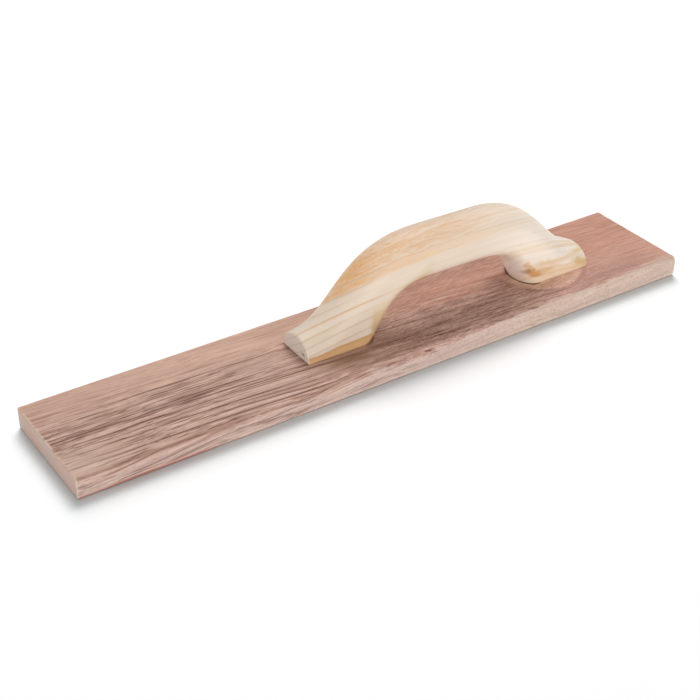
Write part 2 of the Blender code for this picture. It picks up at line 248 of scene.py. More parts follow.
class Graph:
    """Short-hand for building a procedural material; all positions are in mm."""

    def __init__(self, name):
        self.mat = bpy.data.materials.new(name)
        self.mat.use_nodes = True
        self.tree = self.mat.node_tree
        self.tree.nodes.clear()
        self.out = self.node('ShaderNodeOutputMaterial')
        self.bsdf = self.node('ShaderNodeBsdfPrincipled')
        self.coords = self.node('ShaderNodeTexCoord')
        self.feed(self.out.inputs['Surface'], self.bsdf.outputs[0])

    def node(self, kind, **props):
        n = self.tree.nodes.new(kind)
        for key, value in props.items():
            setattr(n, key, value)
        return n

    def feed(self, socket, value):
        if isinstance(value, Signal):
            value = value.socket
        if isinstance(value, bpy.types.NodeSocket):
            self.tree.links.new(value, socket)
        else:
            socket.default_value = value

    def fill(self, n, *values):
        """Feed a node's first inputs in order and return its first output."""
        for socket, value in zip(n.inputs, values):
            self.feed(socket, value)
        return Signal(self, n.outputs[0])

    def math(self, op, *values):
        return self.fill(self.node('ShaderNodeMath', operation=op), *values)

    def radius(self, a, b):
        return self.math('SQRT', a * a + b * b)

    def noise(self, x, y, z, detail=2.0, rough=0.5):
        """Noise of one cell per unit: dividing a coordinate by a length sets its cell in mm."""
        n = self.node('ShaderNodeTexNoise', noise_dimensions='3D')
        vector = self.fill(self.node('ShaderNodeCombineXYZ'), x, y, z)
        self.feed(n.inputs['Vector'], vector)
        n.inputs['Scale'].default_value = 1.0
        n.inputs['Detail'].default_value = detail
        n.inputs['Roughness'].default_value = rough
        return Signal(self, n.outputs[0])

    def mix(self, amount, a, b):
        """Blend from a to b; each is a colour signal or a display rgb."""
        n = self.node('ShaderNodeMix', data_type='RGBA', clamp_factor=True)
        self.feed(n.inputs[0], amount)
        for socket, value in ((n.inputs[6], a), (n.inputs[7], b)):
            self.feed(socket, linear(value) if isinstance(value, tuple) else value)
        return Signal(self, n.outputs[2])

    def axes(self, vector):
        n = self.node('ShaderNodeSeparateXYZ')
        self.feed(n.inputs[0], vector)
        return [Signal(self, socket) for socket in n.outputs]

    def position(self):
        n = self.node('ShaderNodeVectorMath', operation='SCALE')
        self.feed(n.inputs[0], self.coords.outputs['Object'])
        n.inputs['Scale'].default_value = 1000.0
        return self.axes(n.outputs[0])

    def normal(self):
        return self.axes(self.coords.outputs['Normal'])

    def attribute(self, name):
        return Signal(self, self.node('ShaderNodeAttribute', attribute_name=name).outputs['Fac'])

    def relief(self, height, distance, strength):
        n = self.node('ShaderNodeBump')
        n.inputs['Strength'].default_value = strength
        n.inputs['Distance'].default_value = distance
        self.feed(n.inputs['Height'], height)
        self.feed(self.bsdf.inputs['Normal'], n.outputs[0])

    def finish(self, colour, roughness, specular, metallic=0.0):
        self.feed(self.bsdf.inputs['Base Color'], colour)
        self.feed(self.bsdf.inputs['Roughness'], roughness)
        self.feed(self.bsdf.inputs['Specular IOR Level'], specular)
        self.feed(self.bsdf.inputs['Metallic'], metallic)
        return self.mat


# =============================================================================
# blade
# =============================================================================
BLADE_LO, BLADE_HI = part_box("blade")
BLADE_L, BLADE_W, BLADE_T = (BLADE_HI[i] - BLADE_LO[i] for i in range(3))
BLADE_MID_X = (BLADE_LO[0] + BLADE_HI[0]) / 2
# long-edge roundings: upper -Y, upper +Y, both lower; and the end faces' rims
NEAR_R, FAR_R, LOWER_R, END_EASE = 4.0 * MM, 1.0 * MM, 1.2 * MM, 0.8 * MM
BLADE_STEPS = 250
END_RINGS = 8


def blade_outline():
    """Rounded section, anticlockwise seen from +X.

    Columns: y and z of the arc centre or flat point, radius (0 on flats), normal y and z.
    """
    points = []

    def arc(radius, n, side, level, start):
        y = side * (BLADE_W / 2 - radius)
        z = BLADE_T - radius if level > 0 else radius
        for i in range(n):
            a = math.radians(start + 90.0 * i / n)
            points.append((y, z, radius, math.cos(a), math.sin(a)))

    def flat(n, start, end, normal):
        for i in range(n):
            y, z = (a + (b - a) * (i / n) for a, b in zip(start, end))
            points.append((y, z, 0.0, *normal))

    w, t = BLADE_W / 2, BLADE_T
    flat(142, (w - FAR_R, t), (-w + NEAR_R, t), normal=(0, 1))
    arc(NEAR_R, 12, side=-1, level=1, start=90)
    flat(14, (-w, t - NEAR_R), (-w, LOWER_R), normal=(-1, 0))
    arc(LOWER_R, 7, side=-1, level=-1, start=180)
    flat(72, (-w + LOWER_R, 0), (w - LOWER_R, 0), normal=(0, -1))
    arc(LOWER_R, 7, side=1, level=-1, start=270)
    flat(14, (w, LOWER_R), (w, t - FAR_R), normal=(1, 0))
    arc(FAR_R, 5, side=1, level=1, start=0)
    return np.array(points)


def blade_rows():
    """Section places along X, and how far each is drawn in by the end rounding."""
    eased = rounding(END_EASE, 4)
    rows = [(-BLADE_L / 2 + run, inset) for run, inset in eased]
    rows += [(-BLADE_L / 2 + END_EASE + (BLADE_L - 2 * END_EASE) * i / BLADE_STEPS, 0.0)
             for i in range(1, BLADE_STEPS)]
    rows += [(BLADE_L / 2 - run, inset) for run, inset in reversed(eased)]
    return np.array(rows).T


def blade_relief(x, y, z, normal_y, normal_z):
    """Groove mask, and depth below the planed surface; all lengths in mm."""
    slow = layered_noise(x / 150.0, y / 45.0, z / 45.0, seed=3, octaves=2)
    g = y + GRAIN_RISE_Y * (x + GRAIN_START) + 2.2 * slow       # across the grain
    h = z - GRAIN_RISE_Z * x + 1.5 * slow
    pores = smoothstep(0.25, 0.75, value_noise(x / 8.0, g / 1.25, h / 1.25, seed=11))
    streak = smoothstep(0.15, 0.8, layered_noise(x / 55.0, g / 2.6, h / 2.6, seed=23, octaves=2))
    patch = value_noise(x / 70.0, g / 16.0, h / 16.0, seed=31)
    patch = 0.45 + 0.55 * smoothstep(-0.4, 0.5, patch)
    groove = np.clip(0.65 * pores + 0.6 * streak, 0, 1) * patch
    wave = layered_noise(x / 48.0, y / 19.0, z / 19.0, seed=47, octaves=2)
    depth = 0.11 * groove + 0.05 * (1 + wave) / 2
    # small knocks and wear on the arrises
    turned = np.minimum(np.abs(normal_y), np.abs(normal_z))     # 0 on flats, to 0.7 on roundings
    knock = (smoothstep(0.55, 0.85, value_noise(x / 6.5, y / 5.0, z / 5.0, seed=61))
             * smoothstep(0.1, 0.6, turned))
    wear = 0.5 + 0.5 * layered_noise(x / 22.0, y / 9.0, z / 9.0, seed=71, octaves=3)
    depth = depth + 0.22 * knock + 0.12 * smoothstep(0.1, 0.7, turned) * wear
    # wear that dies away from the ends
    near_end = np.exp(-(BLADE_L / 2 / MM - np.abs(x)) / 1.5)
    depth = depth + near_end * 0.16 * (
        0.5 + 0.5 * value_noise(y / 3.1, z / 3.1, x * 0, seed=83))
    return groove, np.minimum(depth, 0.45)


def blade_side_uvs(outline, xs):
    """UVs of the quads round the section, in face order."""
    n = len(outline)
    y = outline[:, 0] + outline[:, 2] * outline[:, 3]
    z = outline[:, 1] + outline[:, 2] * outline[:, 4]
    around = np.zeros(n + 1)
    for k in range(n):
        j = (k + 1) % n
        around[k + 1] = around[k] + math.hypot(y[j] - y[k], z[j] - z[k])
    v = 0.01 + 0.89 * around / around[-1]
    u = 0.005 + 0.99 * (xs + BLADE_L / 2) / BLADE_L
    return [((u[i], v[k]), (u[i], v[k + 1]), (u[i + 1], v[k + 1]), (u[i + 1], v[k]))
            for i in range(len(xs) - 1) for k in range(n)]


def close_blade_end(verts, faces, uvs, first, n, side):
    """Close an end in rings towards the section's middle line; side is -1 or 1 along X."""
    u0 = 0.01 if side < 0 else 0.51

    def add_face(corners):
        corners = corners[::-1] if side < 0 else corners
        faces.append(tuple(corners))
        uvs.append(tuple((u0 + 0.47 * (verts[c][1] + BLADE_W / 2) / BLADE_W,
                          0.92 + 0.07 * verts[c][2] / BLADE_T) for c in corners))

    half_mid = BLADE_W / 2 - BLADE_T / 2
    rim = np.array(verts[first:first + n])
    previous = list(range(first, first + n))
    for level in range(1, END_RINGS + 1):
        t = 0.94 * level / END_RINGS
        y = rim[:, 1] + (np.clip(rim[:, 1], -half_mid, half_mid) - rim[:, 1]) * t
        z = rim[:, 2] + (BLADE_T / 2 - rim[:, 2]) * t
        bump = value_noise(y / MM / 1.1, z / MM / 1.1, y * 0.0, seed=91 if side < 0 else 92)
        hollow = side * 0.05 * MM * (0.5 + 0.5 * bump) * min(1.0, 3 * t)
        ring = list(range(len(verts), len(verts) + n))
        verts += zip(rim[:, 0] - hollow, y, z)
        for k in range(n):
            j = (k + 1) % n
            add_face([previous[k], previous[j], ring[j], ring[k]])
        previous = ring
    add_face(previous)


def build_blade():
    outline = blade_outline()
    n = len(outline)
    xs, insets = blade_rows()
    rows = len(xs)
    centre_y, centre_z, radius, normal_y, normal_z = outline.T
    x = np.repeat(xs[:, None], n, 1)
    normal_y = np.repeat(normal_y[None], rows, 0)
    normal_z = np.repeat(normal_z[None], rows, 0)
    reach = radius[None] - insets[:, None]
    y = centre_y[None] + reach * normal_y
    z = centre_z[None] + reach * normal_z
    groove, depth = blade_relief(x / MM, y / MM, z / MM, normal_y, normal_z)
    y = y - depth * MM * normal_y
    z = z - depth * MM * normal_z

    verts = [tuple(v) for v in np.stack([x + BLADE_MID_X, y, z], -1).reshape(-1, 3)]
    faces = tube_faces(rows, n)
    uvs = blade_side_uvs(outline, xs)
    close_blade_end(verts, faces, uvs, 0, n, side=-1.0)
    close_blade_end(verts, faces, uvs, (rows - 1) * n, n, side=1.0)

    ob = mesh_object("float_blade", verts, faces, uvs)
    grooves = np.zeros(len(verts), dtype=np.float32)
    grooves[:rows * n] = groove.reshape(-1)
    ob.data.attributes.new("groove", 'FLOAT', 'POINT').data.foreach_set("value", grooves)
    return ob


# =============================================================================
# handle
# =============================================================================
HANDLE_LO, HANDLE_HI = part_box("handle")
HANDLE_X = (HANDLE_LO[0] + HANDLE_HI[0]) / 2
HANDLE_HALF_L = (HANDLE_HI[0] - HANDLE_LO[0]) / 2
HANDLE_HALF_W = (HANDLE_HI[1] - HANDLE_LO[1]) / 2
SOLE_Z = HANDLE_LO[2]
SOLE_SINK = 0.25 * MM           # the sole sits this far into the board
OUTER_ROUND, INNER_ROUND = 15.0 * MM, 11.0 * MM
FOOT_FLANK, FOOT_EASE = 1.2 * MM, 0.7 * MM
# Side outlines above the sole, from -X to +X. Columns: x and z in mm, heading in degrees,
# Bezier arm lengths in mm before and after the knot.
OUTER_KNOTS = (
    (-127.0, 15.5, 14.0, 0.0, 12.0),
    (-96.5, 34.5, 47.5, 21.5, 19.5),
    (-24.5, 70.0, 0.0, 42.0, 28.5),
    (27.5, 69.5, 0.0, 33.0, 29.0),
    (89.5, 40.0, -45.0, 24.5, 33.0),
    (127.0, 13.5, -30.0, 24.0, 0.0),
)
INNER_KNOTS = (
    (-67.5, 0.0, 54.0, 0.0, 20.0),
    (-22.5, 32.7, 0.0, 31.5, 15.0),
    (16.5, 32.2, -1.0, 15.0, 43.0),
    (67.0, 0.0, -59.0, 24.0, 0.0),
)
FRONT_STATIONS, REAR_STATIONS = 56, 52
OPENING_STATIONS = (84, 42, 72)         # front leg, crest, rear leg
OVER_SEGMENTS, UNDER_SEGMENTS, FLANK_SEGMENTS = 52, 36, 9
FOOT_RINGS = 7


def bezier_path(knots, per_span=90):
    points = []
    for (x0, z0, a0, _, arm0), (x3, z3, a3, arm3, _) in zip(knots[:-1], knots[1:]):
        x1 = x0 + arm0 * math.cos(math.radians(a0))
        z1 = z0 + arm0 * math.sin(math.radians(a0))
        x2 = x3 - arm3 * math.cos(math.radians(a3))
        z2 = z3 - arm3 * math.sin(math.radians(a3))
        for i in range(1 if points else 0, per_span + 1):
            t = i / per_span
            b = ((1 - t) ** 3, 3 * t * (1 - t) ** 2, 3 * t * t * (1 - t), t ** 3)
            points.append((MM * (b[0] * x0 + b[1] * x1 + b[2] * x2 + b[3] * x3),
                           MM * (b[0] * z0 + b[1] * z1 + b[2] * z2 + b[3] * z3)))
    return np.array(points)


class Path:
    """Outline that gives a point and a left-hand normal at a length along it."""

    def __init__(self, knots):
        self.points = bezier_path(knots)
        steps = np.hypot(*np.diff(self.points, axis=0).T)
        self.at = np.concatenate([[0.0], np.cumsum(steps)])
        self.length = self.at[-1]
        heading = np.gradient(self.points, self.at, axis=0)
        self.heading = heading / np.hypot(heading[:, 0], heading[:, 1])[:, None]

    def sample(self, s):
        s = min(max(s, 0.0), self.length)
        point = np.array([np.interp(s, self.at, self.points[:, i]) for i in (0, 1)])
        heading = np.array([np.interp(s, self.at, self.heading[:, i]) for i in (0, 1)])
        heading /= np.hypot(*heading)
        return point, np.array([-heading[1], heading[0]])

    def length_at(self, test):
        """First length where the point and normal pass the test."""
        for s in self.at:
            if test(*self.sample(s)):
                return float(s)
        return self.length

    def length_at_knot(self, knot):
        return self.length_at(lambda p, normal: p[0] >= knot[0] * MM)


OUTER, INNER = Path(OUTER_KNOTS), Path(INNER_KNOTS)


def outer_edge(s):
    """Point on the outer outline and the middle of the rounding below it."""
    p, normal = OUTER.sample(s)
    k = smoothstep(0.0, 1.0, min(s, OUTER.length - s) / (14 * MM))
    way = np.array([0.0, 1.0]) * (1 - k) + normal * k
    way /= np.hypot(*way)
    depth = OUTER_ROUND / max(float(way @ normal), 0.5)
    depth = min(depth, (p[1] - FOOT_FLANK) / max(way[1], 0.1))
    return p, p - depth * way


def inner_edge(s):
    """Point on the outline of the opening and the middle of the rounding above it."""
    p, normal = INNER.sample(s)
    normal = -normal
    side = 1.0 if s < INNER.length / 2 else -1.0
    k = smoothstep(0.0, 1.0, p[1] / (16 * MM))
    way = np.array([side, 0.0]) * (1 - k) + normal * k
    way /= np.hypot(*way)
    return p, p - INNER_ROUND / max(float(way @ normal), 0.5) * way


def spread(a, b, count):
    return [a + (b - a) * i / count for i in range(count)]


def handle_stations():
    """Sections from foot to foot: (outer length, "sole", x) or (.., "opening", inner length)."""
    heel_front = inner_edge(0.0)[1][0]
    heel_rear = inner_edge(INNER.length)[1][0]
    s_front = OUTER.length_at(
        lambda p, normal: (p - OUTER_ROUND * normal)[0] > heel_front - 5 * MM
        and p[1] > 25 * MM)
    s_rear = OUTER.length_at(
        lambda p, normal: (p - OUTER_ROUND * normal)[0] > heel_rear and p[0] > 0)

    stations = []
    for i, s in enumerate(spread(0.0, s_front, FRONT_STATIONS)):
        x = -HANDLE_HALF_L + (heel_front + HANDLE_HALF_L) * i / FRONT_STATIONS
        stations.append((s, "sole", x))
    stations.append((s_front, "sole", heel_front))
    marks = [(s_front + 1.0 * MM, 0.0)]
    marks += [(OUTER.length_at_knot(OUTER_KNOTS[i]), INNER.length_at_knot(INNER_KNOTS[i - 1]))
              for i in (2, 3)]
    marks.append((s_rear - 1.0 * MM, INNER.length))
    for (s0, u0), (s1, u1), count in zip(marks[:-1], marks[1:], OPENING_STATIONS):
        stations += [(s, "opening", u)
                     for s, u in zip(spread(s0, s1, count), spread(u0, u1, count))]
    stations.append((marks[-1][0], "opening", INNER.length))
    stations.append((s_rear, "sole", heel_rear))
    rear = spread(s_rear, OUTER.length, REAR_STATIONS)[1:] + [OUTER.length]
    for i, s in enumerate(rear, start=1):
        x = heel_rear + (HANDLE_HALF_L - heel_rear) * i / REAR_STATIONS
        stations.append((s, "sole", x))
    return stations


def handle_section(s, kind, at, inset=0.0, x_shift=0.0):
    """Ring of points: over the top, down the +Y flank, underneath, up the -Y flank."""
    top, top_mid = outer_edge(s)
    low, low_mid = (np.array([at, 0.0]),) * 2 if kind == "sole" else inner_edge(at)
    half_w = HANDLE_HALF_W * (1.0 - inset / HANDLE_HALF_W)
    rise = top - top_mid
    rise = rise * (1.0 - inset / np.hypot(*rise))
    a = np.pi * (np.arange(OVER_SEGMENTS + 1) / OVER_SEGMENTS - 0.5)
    over = np.stack([top_mid[0] + rise[0] * np.cos(a), half_w * np.sin(a),
                     top_mid[1] + rise[1] * np.cos(a)], -1)
    reach = low - low_mid
    a = np.pi * (0.5 - np.arange(UNDER_SEGMENTS + 1) / UNDER_SEGMENTS)
    under = np.stack([low_mid[0] + reach[0] * np.cos(a), half_w * np.sin(a),
                      low_mid[1] + reach[1] * np.cos(a) + inset], -1)
    t = (np.arange(1, FLANK_SEGMENTS) / FLANK_SEGMENTS)[:, None]
    down = over[-1][None] * (1 - t) + under[0][None] * t
    up = under[-1][None] * (1 - t) + over[0][None] * t
    ring = np.concatenate([over, down, under, up])
    ring[:, 0] += x_shift
    return ring


def handle_rings():
    stations = handle_stations()
    eased = rounding(FOOT_EASE, 5)
    rings = [handle_section(*stations[0], inset=inset, x_shift=run) for run, inset in eased]
    rings += [handle_section(*station) for station in stations[1:-1]]
    rings += [handle_section(*stations[-1], inset=inset, x_shift=-run)
              for run, inset in reversed(eased)]
    return np.array(rings)


class Skin:
    """Mesh data that shares vertices at one place and drops collapsed corners."""

    def __init__(self):
        self.verts, self.faces, self.uvs, self.known = [], [], [], {}

    def vert(self, co):
        key = tuple(np.round(co, 7))
        if key not in self.known:
            self.known[key] = len(self.verts)
            self.verts.append(co)
        return self.known[key]

    def face(self, corners, corner_uvs):
        keep = [m for m in range(len(corners)) if corners[m] != corners[m - 1]]
        if len({corners[m] for m in keep}) > 2:
            self.faces.append(tuple(int(corners[m]) for m in keep))
            self.uvs.append(tuple(corner_uvs[m] for m in keep))


def handle_side_uvs(rings):
    """U of each ring and V of each point round a ring."""
    step = np.hypot(*np.diff(rings[:, OVER_SEGMENTS // 2][:, [0, 2]], axis=0).T)
    u = np.concatenate([[0.0], np.cumsum(np.maximum(step, 0.3 * MM))])
    middle = rings[len(rings) // 2]
    around = np.linalg.norm(np.diff(np.concatenate([middle, middle[:1]]), axis=0), axis=1)
    v = np.concatenate([[0.0], np.cumsum(around)])
    return 0.01 + 0.98 * u / u[-1], 0.01 + 0.84 * v / v[-1]


def close_foot(skin, rim, rim_ids, side):
    """Close a foot's end in rings on a low middle line; side is -1 or 1 along X."""
    u0 = 0.02 if side < 0 else 0.52
    top = max(rim[:, 2])

    def add_face(corners):
        corners = corners[::-1] if side < 0 else corners
        points = [skin.verts[c] for c in corners]
        skin.face(corners, [(u0 + 0.4 * (p[1] + HANDLE_HALF_W) / (2 * HANDLE_HALF_W),
                             0.87 + 0.12 * p[2] / top) for p in points])

    n = len(rim)
    previous = rim_ids
    for level in range(1, FOOT_RINGS + 1):
        t = 0.90 * level / FOOT_RINGS
        ring = [skin.vert(np.array([x, y + (y * 0.35 - y) * t, z + (top * 0.42 - z) * t]))
                for x, y, z in rim]
        for k in range(n):
            j = (k + 1) % n
            add_face([previous[k], previous[j], ring[j], ring[k]])
        previous = ring
    # the last ring is small: one flat face closes it
    loop = []
    for v in previous:
        if not loop or loop[-1] != v:
            loop.append(v)
    if loop[0] == loop[-1]:
        loop.pop()
    add_face(loop)


def hand_sand(ob):
    """Sink the surface a little unevenly, sparing the end faces and the sole."""
    count = len(ob.data.vertices)
    co, normal = np.empty(count * 3, np.float32), np.empty(count * 3, np.float32)
    ob.data.vertices.foreach_get("co", co)
    ob.data.vertex_normals.foreach_get("vector", normal)
    co, normal = co.reshape(-1, 3).astype(float), normal.reshape(-1, 3).astype(float)
    x, y, z = (co / MM).T
    broad = layered_noise(x / 26, y / 14, z / 14, seed=5, octaves=2)
    tool = value_noise(x / 7.0, y / 3.0, z / 3.0, seed=9)
    sink = 0.10 * (1 + broad) / 2 + 0.025 * (1 + tool)
    at_end = (np.abs(normal[:, 0]) > 0.97) & (np.abs(np.abs(x) - HANDLE_HALF_L / MM) < 1.0)
    sink = sink * np.where(at_end, 0.0, smoothstep(0.3, 2.0, z))
    co -= normal * (sink * MM)[:, None]
    ob.data.vertices.foreach_set("co", co.astype(np.float32).ravel())
    ob.data.update()


def build_handle():
    rings = handle_rings()
    rows, n = rings.shape[:2]
    skin = Skin()
    ids = [[skin.vert(co) for co in ring] for ring in rings]
    u, v = handle_side_uvs(rings)
    for i in range(rows - 1):
        for k in range(n):
            j = (k + 1) % n
            skin.face([ids[i][k], ids[i][j], ids[i + 1][j], ids[i + 1][k]],
                      [(u[i], v[k]), (u[i], v[k + 1]), (u[i + 1], v[k + 1]), (u[i + 1], v[k])])
    close_foot(skin, rings[0], ids[0], side=-1)
    close_foot(skin, rings[-1], ids[-1], side=1)

    ob = mesh_object("float_handle", skin.verts, skin.faces, skin.uvs)
    bm = bmesh.new()
    bm.from_mesh(ob.data)
    bmesh.ops.recalc_face_normals(bm, faces=bm.faces)
    bm.to_mesh(ob.data)
    bm.free()
    hand_sand(ob)
    ob.data.shade_smooth()
    ob.data.transform(Matrix.Translation((HANDLE_X, 0.0, SOLE_Z - SOLE_SINK)))
    return ob


# =============================================================================
# screws
# =============================================================================
SCREWS = ("screw_front_1", "screw_front_2", "screw_rear_1", "screw_rear_2")
SCREW_L, SCREW_R, SCREW_ROOT_R = 31.75 * MM, 4.8 * MM / 2, 3.4 * MM / 2
HEAD_R, HEAD_HALF_ANGLE, HEAD_RIM = 9.2 * MM / 2, math.radians(41.0), 0.35 * MM
THREAD_PITCH, THREAD_L, POINT_L = 1.95 * MM, 21.0 * MM, 4.6 * MM
TIP_R = 0.2 * MM
SCREW_SEGMENTS, ROWS_PER_TURN = 56, 14
CROSS_REACH, CROSS_HALF_W = 2.5 * MM, 0.58 * MM
# driver recess: depth in mm, scale of the arm ends, scale of the inner corners
CROSS_LEVELS = ((-0.4, 1.16, 1.16), (0.0, 1.0, 1.0), (0.5, 0.86, 0.97),
                (1.2, 0.64, 0.9), (1.8, 0.44, 0.8), (2.1, 0.2, 0.5))
HOLE_GAP = 0.3 * MM
HOLE_SEGMENTS = 64
HOLE_OVERRUN = 2 * MM           # the cutters pass both faces by this much


def screw_centre(node):
    lo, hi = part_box(node)
    return (lo[0] + hi[0]) / 2, (lo[1] + hi[1]) / 2, lo[2]


def screw_rows():
    """Rows from head to tip: (core radius, z, height of the thread ridge)."""
    cone_top = HEAD_RIM + (HEAD_R - SCREW_R) / math.tan(HEAD_HALF_ANGLE)
    thread_z = SCREW_L - THREAD_L
    rows = [(HEAD_R - 1.6 * MM, 0.0, 0.0), (HEAD_R - 0.35 * MM, 0.02 * MM, 0.0),
            (HEAD_R - 0.12 * MM, 0.06 * MM, 0.0), (HEAD_R, 0.2 * MM, 0.0),
            (HEAD_R, HEAD_RIM, 0.0)]
    for i in range(1, 6):
        t = i / 6
        rows.append((HEAD_R + (SCREW_R - HEAD_R) * t, HEAD_RIM + (cone_top - HEAD_RIM) * t, 0.0))
    rows += [(SCREW_R, cone_top, 0.0), (SCREW_R, cone_top + 0.6 * MM, 0.0),
             (SCREW_R, thread_z - 1.2 * MM, 0.0), (SCREW_ROOT_R, thread_z, 0.0)]
    count = int(round(THREAD_L / THREAD_PITCH * ROWS_PER_TURN)) - 1
    for i in range(1, count):
        z = thread_z + THREAD_L * i / count
        taper = 1.0 if z < SCREW_L - POINT_L else (SCREW_L - z) / POINT_L
        core = TIP_R + (SCREW_ROOT_R - TIP_R) * taper
        fade = (smoothstep(0.0, 1.0, (z - thread_z) / THREAD_PITCH)
                * smoothstep(0.0, 1.0, (SCREW_L - z) / (2 * MM)))
        rows.append((core, z, (SCREW_R - SCREW_ROOT_R) * fade * (0.35 + 0.65 * taper)))
    return rows


def build_cross_cutter():
    """Tapered cross for the driver recess."""
    outline = []
    reach, half, corner = CROSS_REACH, CROSS_HALF_W, CROSS_HALF_W * 1.25
    for quarter in range(4):
        c, s = math.cos(quarter * math.pi / 2), math.sin(quarter * math.pi / 2)
        for x, y in ((reach, -half), (reach, half), (corner, corner)):
            outline.append((c * x - s * y, s * x + c * y))
    verts = []
    for z, arm_scale, corner_scale in CROSS_LEVELS:
        for x, y in outline:
            scale = arm_scale if math.hypot(x, y) > reach * 0.9 else corner_scale
            # the arms along X narrow only as the corners do
            y_scale = scale if abs(y) > abs(x) * 0.9 else corner_scale
            verts.append((x * scale, y * y_scale, z * MM))
    n, levels = len(outline), len(CROSS_LEVELS)
    faces = tube_faces(levels, n)
    faces.append(tuple(reversed(range(n))))
    faces.append(tuple((levels - 1) * n + k for k in range(n)))
    return mesh_object("cut_cross", verts, faces)


def build_screw(node, turn):
    rows, n = screw_rows(), SCREW_SEGMENTS
    verts = []
    for core, z, ridge in rows:
        for k in range(n):
            f = k / n
            phase = ((z - (SCREW_L - THREAD_L)) / THREAD_PITCH - f) % 1.0
            r = core + ridge * max(0.0, 1.0 - abs(phase - 0.5) / 0.32)
            verts.append((r * math.cos(2 * math.pi * f), r * math.sin(2 * math.pi * f), z))
    faces = tube_faces(len(rows), n)
    tip, last_row = len(verts), (len(rows) - 1) * n
    verts.append((0, 0, SCREW_L))
    faces += [(last_row + k, last_row + (k + 1) % n, tip) for k in range(n)]
    faces.append(tuple(reversed(range(n))))
    ob = mesh_object("wood_" + node, verts, faces)
    apply_cut(ob, build_cross_cutter())
    ob.data.shade_smooth()
    ob.data.set_sharp_from_angle(angle=math.radians(38.0))
    ob.data.transform(Matrix.Translation(screw_centre(node)) @ Matrix.Rotation(turn, 4, 'Z'))
    return ob


def build_hole_cutter():
    """Countersunk clearance holes for all the screws, as one mesh."""
    hole_r, mouth_r = SCREW_R + HOLE_GAP, HEAD_R + HOLE_GAP
    flare_r = mouth_r + 0.25 * MM
    cone = (mouth_r - hole_r) / math.tan(HEAD_HALF_ANGLE)
    bottom, top = -HOLE_OVERRUN, BLADE_T + HOLE_OVERRUN
    verts, faces = [], []
    for node in SCREWS:
        x, y, z = screw_centre(node)
        seat = z + HEAD_RIM
        profile = [(0.0, bottom), (flare_r, bottom), (flare_r, 0.0), (mouth_r, 0.35 * MM),
                   (mouth_r, seat), (hole_r, seat + cone), (hole_r, top), (0.0, top)]
        hole_verts, hole_faces = lathe_data(profile, HOLE_SEGMENTS, (x, y))
        base = len(verts)
        verts += hole_verts
        faces += [tuple(i + base for i in face) for face in hole_faces]
    uvs = [[(0.485 + 0.02 * (verts[i][1] / (12 * MM) + 0.5),
             0.93 + 0.05 * (verts[i][2] + HOLE_OVERRUN) / (BLADE_T + 2 * HOLE_OVERRUN))
            for i in face] for face in faces]
    return mesh_object("cut_holes", verts, faces, uvs)


# =============================================================================
# blade material
# =============================================================================
# Long dark lines at the -X half. Columns: place across the grain, half-width and the X
# where the line fades out, all in mm; strength.
MINERAL_LINES = (
    (18.2, 0.95, -60.0, 0.85), (-3.6, 1.10, -130.0, 0.95), (-0.4, 0.90, -85.0, 0.90),
    (-2.0, 0.60, -50.0, 0.85), (-6.6, 0.75, -100.0, 0.85), (-21.0, 0.85, -90.0, 0.92),
    (-33.6, 0.85, -70.0, 0.90), (-27.0, 0.70, -150.0, 0.75), (4.6, 0.75, -150.0, 0.80),
    (-12.0, 0.70, -40.0, 0.75), (8.8, 0.60, -110.0, 0.55), (12.6, 0.60, -170.0, 0.50),
    (-16.4, 0.60, -130.0, 0.65), (-37.5, 0.60, -120.0, 0.60), (25.5, 0.80, -130.0, 0.34),
    (31.0, 0.80, -160.0, 0.28),
)
# Painted contact shade by the feet, mottled. Columns: centre x, y and half-lengths x, y in mm;
# strength.
FOOT_SHADE_SPOTS = ((110.0, -1.0, 13.0, 13.0, 0.34), (-2.0, -4.0, 12.0, 17.0, 0.22),
               (-70.5, -2.0, 3.2, 16.5, 0.06))
# Painted contact shade: dark lines round the heels, where they meet the board. Columns: centre x
# in mm, side of it along X, strength.
HEEL_SHADE_LINES = ((136.5, -1.0, 0.85), (-20.0, 1.0, 0.55))


def blade_grain(g):
    """Positions and the noises drawn out along the grain that the layers share."""
    x, y, z = g.position()
    slow = g.noise(x / 110, y / 45, z / 45, detail=1.0) - 0.5
    swirl = g.noise(x / 34, y / 12, z / 12) - 0.5
    drift = slow * 9.0 + swirl * 1.7
    # two coordinates across the grain
    across = y + (x + GRAIN_START) * GRAIN_RISE_Y + drift
    depth = z - x * GRAIN_RISE_Z + drift

    def grain(length, width, shift=0.0, detail=2.0, rough=0.5):
        return g.noise(x / length + shift, across / width, depth / width, detail, rough)

    wide = grain(length=150, width=6.5, detail=3.0, rough=0.6)
    return SimpleNamespace(
        x=x, y=y, z=z, normal=g.normal(), slow=slow, across=across, wide=wide,
        band=grain(length=85, width=3.6, shift=7.3, detail=3.0, rough=0.55),
        line=grain(length=100, width=1.60, shift=3.1, detail=1.5),
        fine=grain(length=24, width=1.20, shift=5.9, rough=0.55),
        dash=grain(length=5.0, width=0.8, shift=9.7, detail=1.0),
        crisp=grain(length=140, width=1.35, shift=4.4, rough=0.45),
        breakup=grain(length=58, width=5.0, shift=2.2, detail=3.0, rough=0.6),
        ragged=grain(length=20, width=3.0, shift=1.9, detail=4.0, rough=0.65),
        mottled=g.noise(x / 24, across / 9, depth / 9, detail=3.0),
        # fine slanting pits
        pits=g.noise((x + y) / 2.6, (y - x * 0.1) / 1.05, z / 1.5),
        face_up=z.step(off=12.5, on=15.0),
        edge=across + (wide - 0.5) * 34.0)


